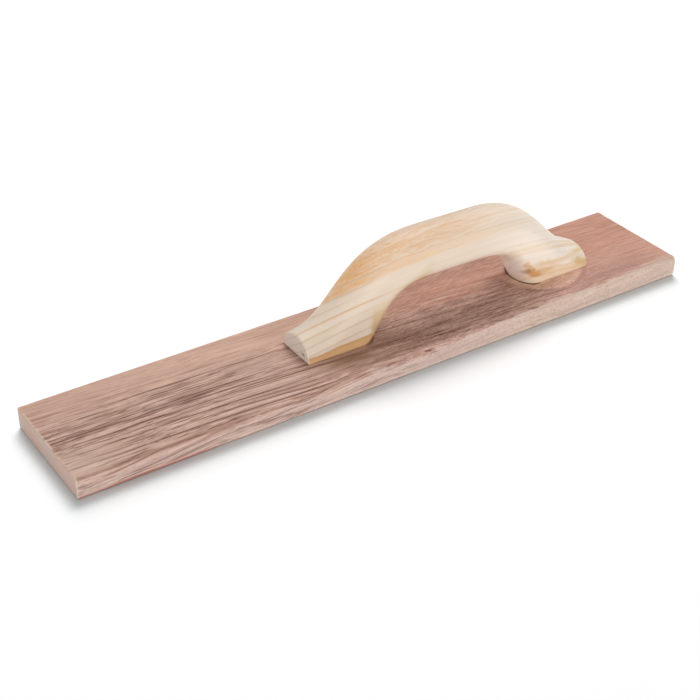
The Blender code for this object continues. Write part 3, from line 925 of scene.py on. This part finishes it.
def blade_ground(g, w):
    """Salmon heartwood towards +Y and the +X end, greyer brown towards -Y."""
    salmon = g.mix(w.x.step(off=-60.0, on=60.0), (171, 138, 122), (158, 117, 100))
    salmon = salmon.tint(w.x.step(off=110.0, on=190.0), rgb=(173, 127, 109))
    brown = g.mix(w.x.step(off=-150.0, on=0.0), (164, 134, 120), (163, 130, 117))
    brown = brown.tint(w.x.step(off=110.0, on=200.0), rgb=(174, 134, 118))
    w.zone = g.math('MAXIMUM', w.edge.step(off=8.0, on=20.0),
                    w.x.step(off=120.0, on=190.0) * 0.55)
    colour = g.mix(w.zone, brown, salmon)
    colour = colour.vary(w.wide, swing=0.36)
    colour = colour.vary(w.mottled, swing=0.26)
    colour = colour.vary(w.fine, swing=0.34)
    # brighter along the +Y edge of the -X half
    bright = w.x.peak(at=-105.0, width=110.0) * w.y.step(off=12.0, on=32.0)
    return colour.shade(1.0 + bright * 0.10)


def blade_figure(g, w, colour):
    """Figure that gathers in the middle of the plank and dies away towards +Y."""
    calm = g.math('MAXIMUM', w.edge.step(off=4.0, on=34.0), w.x.step(off=135.0, on=200.0))
    w.busy = 1.0 - calm * 0.70
    core = ((w.across + (w.wide - 0.5) * 18.0).peak(at=-3.0, width=15.0)
            * w.x.step(off=-20.0, on=-110.0))
    rich = g.math('MINIMUM', w.busy * 0.30 + core * 0.34, 1.0)
    w.streaks = w.band.step(off=0.50, on=0.66) * rich
    colour = colour.tint(w.streaks, rgb=(117, 79, 62))
    colour = colour.tint(w.line.step(off=0.565, on=0.65), rgb=(97, 60, 45),
                         strength=w.busy * 0.48)
    colour = colour.tint(w.crisp.step(off=0.575, on=0.645), rgb=(89, 51, 37),
                         strength=w.busy * (0.38 + w.wide * 0.6))
    colour = colour.tint(w.band.step(off=0.46, on=0.32), rgb=(190, 162, 148),
                         strength=w.busy * 0.46)
    colour = colour.tint(w.crisp.step(off=0.42, on=0.34), rgb=(198, 171, 157),
                         strength=w.busy * 0.46)
    w.pores = w.dash.step(off=0.60, on=0.72) * (0.10 + w.busy * 0.20)
    colour = colour.tint(w.pores, rgb=(98, 68, 60))
    for place, width, x_end, strength in MINERAL_LINES:
        mark = ((w.across + w.slow * -5.0).peak(at=place, width=width * 1.35)
                * w.x.step(off=x_end + 40.0, on=x_end - 20.0))
        mark = mark * strength * w.breakup.step(off=0.38, on=0.50)
        colour = colour.tint(mark, rgb=(84, 50, 38))
    return colour


def blade_top_marks(g, w, colour):
    """Grooves, a patch of painted light, stains, and painted contact shade by the feet, on the
    upper face.
    """
    x, y, mottled, face_up = w.x, w.y, w.mottled, w.face_up
    colour = colour.tint(g.attribute("groove"), rgb=(110, 78, 67), strength=w.busy * 0.34)
    # painted light: a paler patch round the near side of the rear foot, lifting the shadow that
    # the handle casts there and standing in for its warm reflection, with a dark skirt
    halo = g.radius((x - 152.0) / 35.0, (y - 3.5) / 33.5)
    light_patch_and_chatter_zone = ((halo + (mottled - 0.5) * 0.16).step(off=1.06, on=0.93)
              * (y + x * 0.12).step(off=24.0, on=10.0)
              * w.fine.step(off=0.66, on=0.40, low=0.45)
              * x.step(off=112.0, on=140.0, low=0.55))
    colour = colour.tint(light_patch_and_chatter_zone * face_up, rgb=(197, 164, 142), strength=0.90)
    skirt = (halo.peak(at=1.07, width=0.07) * y.step(off=-14.0, on=-22.0)
             * x.step(off=185.0, on=165.0))
    colour = colour.tint(skirt * face_up, rgb=(112, 78, 64), strength=0.45)
    # olive-brown stain beside the front foot
    olive = (x.peak(at=-44.0, width=46.0) * y.peak(at=-25.5, width=14.0)
             * mottled.step(off=0.34, on=0.56, low=0.5))
    colour = colour.tint(olive * face_up, rgb=(120, 91, 67), strength=0.80)
    # paler patch on the -X side of the front foot
    pale = x.peak(at=-94.0, width=34.0) * y.peak(at=2.0, width=15.0)
    colour = colour.tint(pale * face_up, rgb=(172, 144, 132), strength=0.42)
    # painted contact shade round the feet, mottled in patches
    for centre_x, centre_y, half_x, half_y, strength in FOOT_SHADE_SPOTS:
        near = g.radius((x - centre_x) / half_x, (y - centre_y) / half_y)
        foot_shade = near.step(off=1.25, on=0.35) * (0.35 + mottled.step(off=0.40, on=0.60))
        colour = colour.tint(foot_shade * face_up, rgb=(98, 70, 60), strength=strength)
    # painted contact shade: a dark line along the -X end of the front foot, where it meets the
    # board
    foot_line = x.peak(at=-68.9, width=0.9) * abs(y).step(off=17.4, on=16.4) * face_up
    return colour.tint(foot_line, rgb=(112, 82, 64),
                       strength=mottled.step(off=0.34, on=0.56, low=0.1, high=0.5))


def blade_wear_and_contact_shade(g, w, colour):
    """Tool chatter and pits in the middle, the pale corner, a purple-brown strip, and painted
    contact shade round the heels.
    """
    x, y, z, pits = w.x, w.y, w.z, w.pits
    chatter = g.noise((x + y * 0.22) / 8.0, (y - x * 0.22) / 0.95, z / 1.5)
    light_patch_and_chatter_zone = x.step(off=-60.0, on=15.0) * x.step(off=215.0, on=150.0)
    pitted = light_patch_and_chatter_zone * (1.0 - w.zone)
    colour = colour.tint(pits.step(off=0.56, on=0.68), rgb=(84, 58, 52), strength=pitted * 0.46)
    colour = colour.tint(pits.step(off=0.42, on=0.34), rgb=(186, 152, 138),
                         strength=pitted * 0.34)
    # 1.45 also lifts the whole board's brightness
    colour = colour.shade(1.45 + (chatter - 0.5) * light_patch_and_chatter_zone * 1.4)
    # pale corner at the -X, -Y end
    corner = (x.step(off=-196.0, on=-244.0) * y.step(off=-8.0, on=-24.0)
              * w.normal[2].step(off=0.7, on=0.95))
    colour = colour.tint(corner, rgb=(214, 186, 170),
                         strength=w.line.step(off=0.60, on=0.50, low=0.1, high=0.55))
    # purple-brown strip on the near side of the rear foot
    dusky = ((y + (w.wide - 0.5) * 16.0).peak(at=-32.5, width=15.0)
             * (x.step(off=132.0, on=180.0, low=0.4) * x.step(off=252.0, on=215.0))
             * x.step(off=112.0, on=132.0) * w.face_up)
    colour = colour.tint(dusky, rgb=(168, 130, 119),
                         strength=pits.step(off=0.36, on=0.62, low=0.35, high=0.95))
    # painted shade: dark lines where the heels meet the board
    for centre_x, way, strength in HEEL_SHADE_LINES:
        ellipse = g.radius((x - centre_x) / 11.0, y / 16.5)
        rim = (ellipse.step(off=1.14, on=1.04)
               * ((x - centre_x) * way).step(off=-4.0, on=2.0))
        colour = colour.tint(rim * w.face_up, rgb=(66, 42, 35), strength=strength)
    return colour


def sapwood_colour(g, w):
    x, y, z = w.x, w.y, w.z
    colour = g.mix(x.step(off=-200.0, on=-40.0), (200, 175, 165), (203, 178, 167))
    colour = colour.tint(x.step(off=30.0, on=120.0), rgb=(205, 181, 166))
    colour = colour.vary(w.band, swing=-0.34)
    slant = g.noise((x + z * 1.6) / 2.4, y / 2.0, (z - x * 0.25) / 1.1)
    colour = colour.vary(slant, swing=0.22)
    # grain lines, dark then pale, stronger towards -X
    colour = colour.tint(w.line.step(off=0.51, on=0.62), rgb=(134, 99, 86),
                         strength=x.step(off=60.0, on=-120.0, low=0.16, high=0.66))
    colour = colour.tint(w.crisp.step(off=0.55, on=0.62), rgb=(120, 84, 72),
                         strength=x.step(off=40.0, on=-120.0, high=0.52))
    colour = colour.tint(w.crisp.step(off=0.44, on=0.36), rgb=(224, 200, 186),
                         strength=x.step(off=40.0, on=-120.0, high=0.50))
    colour = colour.tint(w.dash.step(off=0.60, on=0.74), rgb=(140, 108, 96),
                         strength=0.14 + x.step(off=70.0, on=-40.0) * 0.26)
    # flecks and glints, stronger towards +X
    colour = colour.tint(w.pits.step(off=0.55, on=0.68), rgb=(150, 118, 104),
                         strength=x.step(off=-20.0, on=60.0, low=0.10, high=0.30))
    return colour.tint(w.pits.step(off=0.42, on=0.33), rgb=(226, 208, 196),
                       strength=x.step(off=-60.0, on=40.0, low=0.10, high=0.34))


def blade_sapwood(g, w, colour):
    """Pale sapwood along the lower -Y edge, and the lines on that edge."""
    x, y, z = w.x, w.y, w.z
    border = 12.3 + x.step(off=-10.0, on=120.0) * 6.4 + x.step(off=160.0, on=254.0) * 5.5
    ragged = (w.ragged - 0.5) * 21.0
    over = border + ragged - (z + (y + 44.45) * 1.15)
    crispness = x.step(off=-110.0, on=30.0, low=0.22)
    sap = ((over * crispness).step(off=-1.0, on=1.5)
           * x.step(off=-110.0, on=30.0, low=0.72))
    # thinner over the top face, so the heartwood shows through
    sap = sap * w.normal[2].step(off=0.98, on=0.75, low=0.62)
    colour = colour.tint(sap, rgb=sapwood_colour(g, w))
    # painted light: the low part of the -Y side is lightened, against the shade that the floor
    # gives it
    lower = z.step(off=4.5, on=0.4) * w.normal[1].step(off=-0.3, on=-0.8)
    colour = colour.shade(1.0 + lower * 0.22)
    upper = (z.peak(at=14.3, width=1.9) * y.step(off=-40.6, on=-42.0)
             * (w.breakup.step(off=0.40, on=0.54) * x.step(off=40.0, on=-60.0)))
    colour = colour.tint(upper, rgb=(136, 100, 86), strength=0.55)
    # red-brown line low on the edge
    low = (z.step(off=2.6, on=1.3) * y.step(off=-42.6, on=-43.6)
           * (x.step(off=-110.0, on=-170.0) * w.breakup.step(off=0.40, on=0.55))
           * x.step(off=-252.0, on=-222.0, low=0.35))
    return colour.tint(low, rgb=(186, 108, 84), strength=0.72)


def blade_ends(g, w, colour):
    """End grain, and a painted highlight on the arrises."""
    x, y, z = w.x, w.y, w.z
    facing = abs(w.normal[0])
    dots = g.noise(x / 20, y / 0.6, z / 0.6)
    arcs = g.noise(0.0, y / 20, (z - y * 0.10) / 2.2)
    blush = g.noise(0.0, y / 16, z / 9)
    end = g.mix(blush.step(off=0.4, on=0.62), (186, 166, 156), (193, 161, 149))
    end = end.tint(arcs.step(off=0.5, on=0.66), rgb=(164, 136, 125), strength=0.30)
    end = end.tint(dots.step(off=0.55, on=0.72), rgb=(148, 122, 112), strength=0.30)
    colour = colour.tint(facing.step(off=0.72, on=0.96), rgb=end)
    # painted highlight round the rims of the ends
    arris = facing.peak(at=0.55, width=0.42) * w.mottled.step(off=0.34, on=0.56)
    colour = colour.tint(arris, rgb=(222, 205, 190), strength=0.6)
    # painted highlight along the top edge of each end
    tip = abs(x).step(off=252.2, on=253.2) * w.normal[2].step(off=0.3, on=0.6)
    return colour.tint(tip, rgb=(220, 190, 164),
                       strength=w.mottled.step(off=0.36, on=0.58, low=0.25, high=0.65))


def blade_material():
    g = Graph("reddish_open_pored_hardwood")
    w = blade_grain(g)
    colour = blade_ground(g, w)
    for layer in (blade_figure, blade_top_marks, blade_wear_and_contact_shade, blade_sapwood, blade_ends):
        colour = layer(g, w, colour)
    rough = 0.64 + (w.band - 0.5) * 0.25 + w.pores * 0.25
    g.relief(w.line * 0.5 - (w.pores * 1.6 + w.streaks * 0.5), distance=0.00012, strength=0.7)
    return g.finish(colour, g.math('MINIMUM', rough, 0.95), specular=0.25)


# =============================================================================
# handle material
# =============================================================================
# Pitch pocket on the near side of the rear foot. Columns: centre x, z and half-lengths x, z
# in mm; slope; strength; display rgb.
PITCH_SPOTS = (
    (138.0, 27.0, 20.0, 8.0, -0.16, 0.42, (222, 180, 132)),
    (128.0, 28.5, 6.5, 5.4, -0.60, 0.78, (200, 144, 86)),
    (134.5, 24.6, 6.5, 3.6, -0.35, 0.76, (198, 142, 84)),
    (124.5, 35.0, 3.2, 3.0, 0.0, 0.55, (206, 158, 104)),
    (143.0, 25.0, 13.0, 2.4, -0.05, 0.48, (214, 160, 104)),
    (179.0, 22.0, 9.5, 5.0, -0.2, 0.62, (206, 170, 104)),
)


def pine_grain(g):
    """Positions, growth layers and the noises that the handle's layers share."""
    x, y, z = g.position()
    slow = g.noise(x / 90, y / 30, z / 30, detail=1.0) - 0.5
    swirl = g.noise(x / 30, y / 9, z / 9) - 0.5
    # growth layers: nearly flat sheets, tipped in Y and slightly arched along X
    arch = abs(x - 70.0) ** 2.0 / 2000
    sheet = z * 0.777 + y * 0.629 + arch
    layer = sheet + (slow * 2.6 + swirl * 1.1)
    pace = (g.noise(x / 400, layer / 9.0, 0.0, detail=1.0) - 0.5) * 3.2
    ring = g.math('FRACT', (layer + pace) / 5.7 + 0.053)    # 5.7 mm from ring to ring
    return SimpleNamespace(
        x=x, y=y, z=z, normal_x=g.normal()[0], swirl=swirl, sheet=sheet, layer=layer,
        late=ring.step(off=0.42, on=0.90) * ring.step(off=0.985, on=0.93),
        thin=ring.step(off=0.74, on=0.92) * ring.step(off=0.985, on=0.93),
        fibre=g.noise(x / 34, y / 0.9, layer / 0.8, detail=3.0, rough=0.6),
        soft=g.noise(x / 60, y / 5.0, layer / 2.2, rough=0.55),
        stripe=g.noise(x / 110, layer / 3.4, 7.7))


def pine_ground(g, w):
    """Cream ground, whiter towards the rear foot, with a tan zone high on the grip."""
    x, layer = w.x, w.layer
    colour = g.mix(x.step(off=60.0, on=150.0), (222, 205, 187), (238, 226, 213))
    colour = colour.vary(g.noise(x / 50, w.y / 22, w.z / 13), swing=0.10)
    # painted light: the top of the grip is a little brighter
    colour = colour.shade(1.0 + w.sheet.step(off=46.0, on=60.0) * 0.09)
    # tan zone, strongest over the front sweep
    fade = (x.step(off=6.0, on=-30.0) * 0.36 + 0.66) * x.step(off=142.0, on=-20.0)
    depth = (layer.peak(at=46.0, width=6.0) * 0.30 + layer.peak(at=60.0, width=8.0) * 0.42
             + layer.peak(at=54.0, width=4.0) * (x.step(off=0.0, on=-28.0) * 0.5))
    depth = (w.soft - 0.5) * 1.5 + depth
    depth = g.math('MINIMUM', g.math('MAXIMUM', depth + 0.42, 0.06), 1.1)
    w.tan = layer.step(off=43.6, on=46.2) * fade * depth
    colour = colour.tint(w.tan, rgb=(222, 168, 110))
    # a narrow yellow-green tint where the zone starts
    green = x.peak(at=32.0, width=10.0) * layer.peak(at=46.4, width=1.6)
    colour = colour.tint(green, rgb=(216, 204, 140), strength=0.5)
    # fine orange streaks high on the grip
    thread = g.noise(x / 15, w.y / 1.3, layer / 0.55, rough=0.6)
    threads = (thread.step(off=0.53, on=0.62)
               * (layer.step(off=47.0, on=53.0) * x.step(off=120.0, on=60.0)))
    return colour.tint(threads, rgb=(218, 158, 100), strength=0.62)


def pine_growth_lines(g, w, colour):
    x = w.x
    strength = g.noise(x / 80, w.layer / 5.0, 3.3).step(off=0.38, on=0.62)
    weight = 0.03 + strength * 0.24 + x.step(off=0.0, on=-38.0) * 0.07
    weight = weight * abs(x - 56.0).step(off=28.0, on=66.0, low=0.42)
    weight = weight * x.step(off=126.0, on=96.0, low=0.40)
    colour = colour.tint(w.stripe.step(off=0.50, on=0.66), rgb=(228, 200, 164),
                         strength=x.step(off=70.0, on=120.0, low=0.22, high=0.50))
    front = x.step(off=10.0, on=-20.0)
    colour = colour.tint(w.late * weight, rgb=g.mix(front, (218, 176, 126), (206, 172, 136)))
    colour = colour.tint(w.thin * (weight * 0.8),
                         rgb=g.mix(front, (200, 148, 96), (184, 142, 104)))
    # the side of the front foot is a little greyer
    colour = colour.shade(1.0 - front * w.sheet.step(off=34.0, on=24.0) * 0.075)
    # one strong line on the front leg
    strong = w.sheet.peak(at=33.6, width=0.95) * x.step(off=0.0, on=-30.0)
    return colour.tint(strong, rgb=(206, 154, 98), strength=0.62)


def pine_front_foot(g, w, colour):
    """Resin-rich wood low on the foot, and painted shade with warm reflected light on the inner
    rounding of the leg.
    """
    x, z, soft, swirl = w.x, w.z, w.soft, w.swirl
    border = 20.6 + x.step(off=-64.0, on=-40.0) * 1.9 + x.step(off=-40.0, on=0.0) * 1.9
    low = (border + swirl * 1.6 - z).step(off=-0.25, on=0.35) * x.step(off=10.0, on=-4.0)
    resin = g.mix(soft * 0.9, (216, 173, 118), (203, 158, 110))
    resin = resin.tint((border - z).peak(at=1.4, width=1.8), rgb=(190, 142, 92), strength=0.42)
    resin = resin.tint(w.fibre.step(off=0.52, on=0.66), rgb=(186, 140, 92), strength=0.35)
    resin = resin.tint((border - z).peak(at=0.5, width=0.9), rgb=(176, 122, 74),
                       strength=soft * 0.9)
    colour = colour.tint(low, rgb=resin, strength=0.92)
    # painted shade with warm reflected light: yellow-brown over the inner rounding of the leg
    leg = ((x + swirl * 6.0).step(off=-19.5, on=-14.0) * x.step(off=40.0, on=24.0)
           * (z + (x + 8.0) * -0.5 + swirl * 9.0).step(off=48.5, on=35.5)
           * w.y.step(off=6.0, on=-4.0))
    return colour.tint(leg, rgb=g.mix(z.step(off=36.0, on=26.0), (204, 173, 130), (188, 150, 110)),
                       strength=0.88 - low * 0.7)


def pine_rear_foot(g, w, colour):
    """Warmer wood, yellowish lines and a pitch pocket."""
    x, y, z = w.x, w.y, w.z
    toe = (z + w.swirl * 5.0).step(off=26.5, on=20.0) * x.step(off=120.0, on=132.0)
    colour = colour.tint(toe, rgb=(236, 203, 160), strength=0.50)
    lines = (w.stripe.step(off=0.47, on=0.60)
             * (x.step(off=118.0, on=138.0) * z.step(off=45.0, on=38.0)))
    band = ((z + (x - 140.0) * 0.08 + w.swirl * 2.5).peak(at=31.6, width=2.6)
            * (x.step(off=130.0, on=142.0) * y.step(off=-4.0, on=-10.0)))
    yellow = g.math('MINIMUM', lines * 0.30 + band * 0.62, 1.0)
    colour = colour.tint(yellow, rgb=(224, 190, 138))
    ragged = (g.noise(x / 7.0, y / 8, z / 3.6, detail=3.0) - 0.5) * 1.9
    near = y.step(off=-7.0, on=-13.0)
    for centre_x, centre_z, half_x, half_z, slope, strength, rgb in PITCH_SPOTS:
        spot = g.radius((x - centre_x) / half_x,
                        (z - centre_z - (x - centre_x) * slope) / half_z) + ragged
        colour = colour.tint(spot.step(off=1.25, on=0.30), rgb=rgb, strength=near * strength)
    heart = (abs(x - 126.0) + ragged * 3.0).step(off=2.6, on=0.8) * z.peak(at=28.5, width=4.0)
    return colour.tint(heart, rgb=(134, 90, 54), strength=near * 0.55)


def pine_marks(g, w, colour):
    """Painted shade on the rear leg's inner side and along the sole, fibre and small resin flecks.
    """
    x, y = w.x, w.y
    # painted shade on the side of the rear leg that faces the opening
    inner_side_shade = (w.normal_x.step(off=-0.2, on=-0.7)
                  * (x.peak(at=122.0, width=20.0) * y.step(off=8.0, on=-6.0)))
    colour = colour.tint(inner_side_shade, rgb=(194, 172, 166), strength=0.30)
    # painted contact shade low on the handle, just above the board
    sole_shade = (w.z.step(off=18.4, on=16.6)
             * (abs(w.normal_x).step(off=0.25, on=0.7) * x.peak(at=60.0, width=84.0)))
    colour = colour.tint(sole_shade, rgb=(96, 62, 46), strength=0.62)
    colour = colour.vary(w.fibre, swing=0.16)
    fleck = g.noise(x / 4.5, y / 1.6, w.layer / 0.9, detail=1.0)
    return colour.tint(fleck.step(off=0.70, on=0.80), rgb=(186, 122, 74),
                       strength=0.16 + w.tan * 0.5)


def pine_ends(g, w, colour):
    """Sawn foot ends, with a small knot, and a painted highlight on their arrises."""
    facing = abs(w.normal_x)
    foot_end = g.math('MAXIMUM', w.x.step(off=-66.0, on=-67.6), w.x.step(off=183.0, on=184.6))
    end = g.mix(w.thin * 0.45, (213, 200, 188), (178, 161, 148))
    knot = w.y.peak(at=-9.4, width=3.2) * w.z.peak(at=20.5, width=1.9)
    end = end.tint(knot, rgb=(112, 86, 68), strength=0.85)
    end = end.vary(w.fibre, swing=0.22)
    colour = colour.tint(facing.step(off=0.86, on=0.98) * foot_end, rgb=end)
    # painted highlight on the arrises of the foot ends
    arris = facing.peak(at=0.6, width=0.38) * foot_end
    return colour.tint(arris, rgb=(240, 228, 212), strength=0.55)


def handle_material():
    g = Graph("clear_pine")
    w = pine_grain(g)
    colour = pine_ground(g, w)
    for layer in (pine_growth_lines, pine_front_foot, pine_rear_foot, pine_marks, pine_ends):
        colour = layer(g, w, colour)
    rough = 0.50 + (w.fibre - 0.5) * 0.22 - w.late * 0.08
    g.relief(w.fibre * 0.6 + w.late * 0.5, distance=0.00006, strength=0.5)
    return g.finish(colour, rough, specular=0.30)


# =============================================================================
# screw and floor materials
# =============================================================================
def screw_material():
    g = Graph("bright_zinc_steel")
    x, y, z = g.position()
    scratch = g.noise(x / 0.35, y / 1.8, z / 0.35, detail=3.0)
    patch = g.noise(x / 2.2, y / 2.2, z / 2.2, detail=3.0)
    colour = g.mix(patch, (176, 174, 166), (206, 206, 202))
    colour = colour.tint(patch.step(off=0.60, on=0.74), rgb=(132, 122, 106), strength=0.55)
    rough = 0.26 + (scratch * 0.14 + patch.step(off=0.55, on=0.75) * 0.25)
    g.relief(scratch, distance=0.00002, strength=0.4)
    return g.finish(colour, rough, specular=0.5, metallic=1.0)


def floor_material():
    g = Graph("pale_floor")
    x, y, _ = g.position()
    colour = g.mix(g.noise(x / 300, y / 300, 0.0), (249, 249, 249), (251, 251, 251))
    # painted cool tint beside the board, against the pink light that the board throws on the floor
    beside = g.radius(g.math('MAXIMUM', abs(x) - 254.0, 0.0),
                      g.math('MAXIMUM', abs(y) - 44.4, 0.0))
    colour = colour.tint(beside.step(off=20.0, on=3.0), rgb=(243, 249, 250))
    g.finish(colour, roughness=0.9, specular=0.05)
    # out of the lights' reach the floor runs into an evenly white backdrop, as a paper
    # sweep does; only the camera sees this, so it throws no light on the object
    away = g.radius(x, y)
    camera_ray = g.node('ShaderNodeLightPath').outputs['Is Camera Ray']
    glow = g.node('ShaderNodeEmission')
    surface = g.fill(g.node('ShaderNodeMixShader'),
                     away.step(off=700.0, on=2200.0) * camera_ray,
                     g.bsdf.outputs[0], glow.outputs[0])
    g.feed(g.out.inputs['Surface'], surface)
    return g.mat


# =============================================================================
# stage, light and camera
# =============================================================================
FLOOR_HALF, FLOOR_Z = 30.0, -0.0002
WORLD_SEEN, WORLD_LIGHT = 1.0, 0.42     # strength for the camera and for everything else
CAMERA_PLACE = (-0.4961527, -0.6745185, 0.5486015)
CAMERA_AIM = (0.47884608, 0.68249266, -0.55218674)
CAMERA_ROLL = math.radians(1.4265)
CAMERA_LENS, CAMERA_SENSOR = 71.56, 36.0        # mm


def build_floor():
    mesh = bpy.data.meshes.new("floor")
    bm = bmesh.new()
    bmesh.ops.create_grid(bm, x_segments=8, y_segments=8, size=FLOOR_HALF)
    bm.to_mesh(mesh)
    bm.free()
    ob = bpy.data.objects.new("floor", mesh)
    ob.location = (0, 0, FLOOR_Z)
    bpy.context.scene.collection.objects.link(ob)
    mesh.materials.append(floor_material())
    return ob


def build_world():
    """White to the camera, dimmer as a light."""
    world = bpy.data.worlds.new("studio")
    world.use_nodes = True
    nodes, links = world.node_tree.nodes, world.node_tree.links
    nodes.clear()
    out, mix = nodes.new('ShaderNodeOutputWorld'), nodes.new('ShaderNodeMixShader')
    path = nodes.new('ShaderNodeLightPath')
    links.new(path.outputs['Is Camera Ray'], mix.inputs[0])
    for i, strength in ((1, WORLD_LIGHT), (2, WORLD_SEEN)):
        background = nodes.new('ShaderNodeBackground')
        background.inputs[0].default_value = (1.0, 1.0, 1.0, 1.0)
        background.inputs[1].default_value = strength
        links.new(background.outputs[0], mix.inputs[i])
    links.new(mix.outputs[0], out.inputs[0])
    bpy.context.scene.world = world


def area_light(name, position, target, size, power):
    data = bpy.data.lights.new(name, 'AREA')
    data.shape = 'RECTANGLE'
    data.size = data.size_y = size
    data.energy = power
    ob = bpy.data.objects.new(name, data)
    ob.location = position
    ob.rotation_euler = (Vector(target) - Vector(position)).to_track_quat('-Z', 'Y').to_euler()
    bpy.context.scene.collection.objects.link(ob)
    return ob


def link_group(name, members):
    group = bpy.data.collections.new(name)
    for ob in members:
        group.objects.link(ob)
    return group


def build_lights(blade, handle, floor):
    """Overhead key, a back light for the floor alone (shaded by the blade), and two fills
    kept off the floor."""
    low, high = (0.0, 0.0, 0.03), (0.0, 0.0, 0.05)      # points aimed at
    area_light("key", position=(2.1, 3.0, 5.5), target=low, size=3.2, power=225.0)
    back = area_light("back", position=(2.0, 4.35, 4.35), target=low, size=3.8, power=190.0)
    back.light_linking.blocker_collection = link_group("shades_back_light", [blade])
    back.light_linking.receiver_collection = link_group("lit_by_back_light", [floor])
    fill = area_light("fill", position=(0.9, -3.4, 0.95), target=high, size=1.8, power=42.0)
    side = area_light("left_fill", position=(-3.0, -1.6, 0.65), target=high, size=1.2,
                      power=42.0)
    subject = link_group("lit_by_front_fill", [blade, handle])
    fill.light_linking.receiver_collection = subject
    side.light_linking.receiver_collection = subject


def build_camera():
    data = bpy.data.cameras.new("camera")
    data.lens, data.sensor_width = CAMERA_LENS, CAMERA_SENSOR
    data.clip_start, data.clip_end = 0.01, 100.0
    camera = bpy.data.objects.new("camera", data)
    bpy.context.scene.collection.objects.link(camera)
    forward = Vector(CAMERA_AIM).normalized()
    level_right = forward.cross(Vector((0, 0, 1))).normalized()
    level_up = level_right.cross(forward)
    right = level_right * math.cos(CAMERA_ROLL) + level_up * math.sin(CAMERA_ROLL)
    up = right.cross(forward)
    turn = Matrix((right, up, -forward)).transposed().to_4x4()
    camera.matrix_world = Matrix.Translation(CAMERA_PLACE) @ turn
    bpy.context.scene.camera = camera


# =============================================================================
# build
# =============================================================================
blade = build_blade()
apply_cut(blade, build_hole_cutter())
blade.data.shade_smooth()
blade.data.set_sharp_from_angle(angle=math.radians(50.0))
dress(blade, blade_material(), node="blade")

handle = build_handle()
handle.data.set_sharp_from_angle(angle=math.radians(60.0))
dress(handle, handle_material(), node="handle")

steel = screw_material()
for i, node in enumerate(SCREWS):
    screw = build_screw(node, turn=math.radians(23.0 + 67.0 * i))
    dress(screw, steel, node=node)

floor = build_floor()
build_world()
build_lights(blade, handle, floor)
build_camera()
bpy.context.scene.view_settings.view_transform = 'Standard'
bpy.context.scene.view_settings.look = 'None'

bpy.context.view_layer.update()
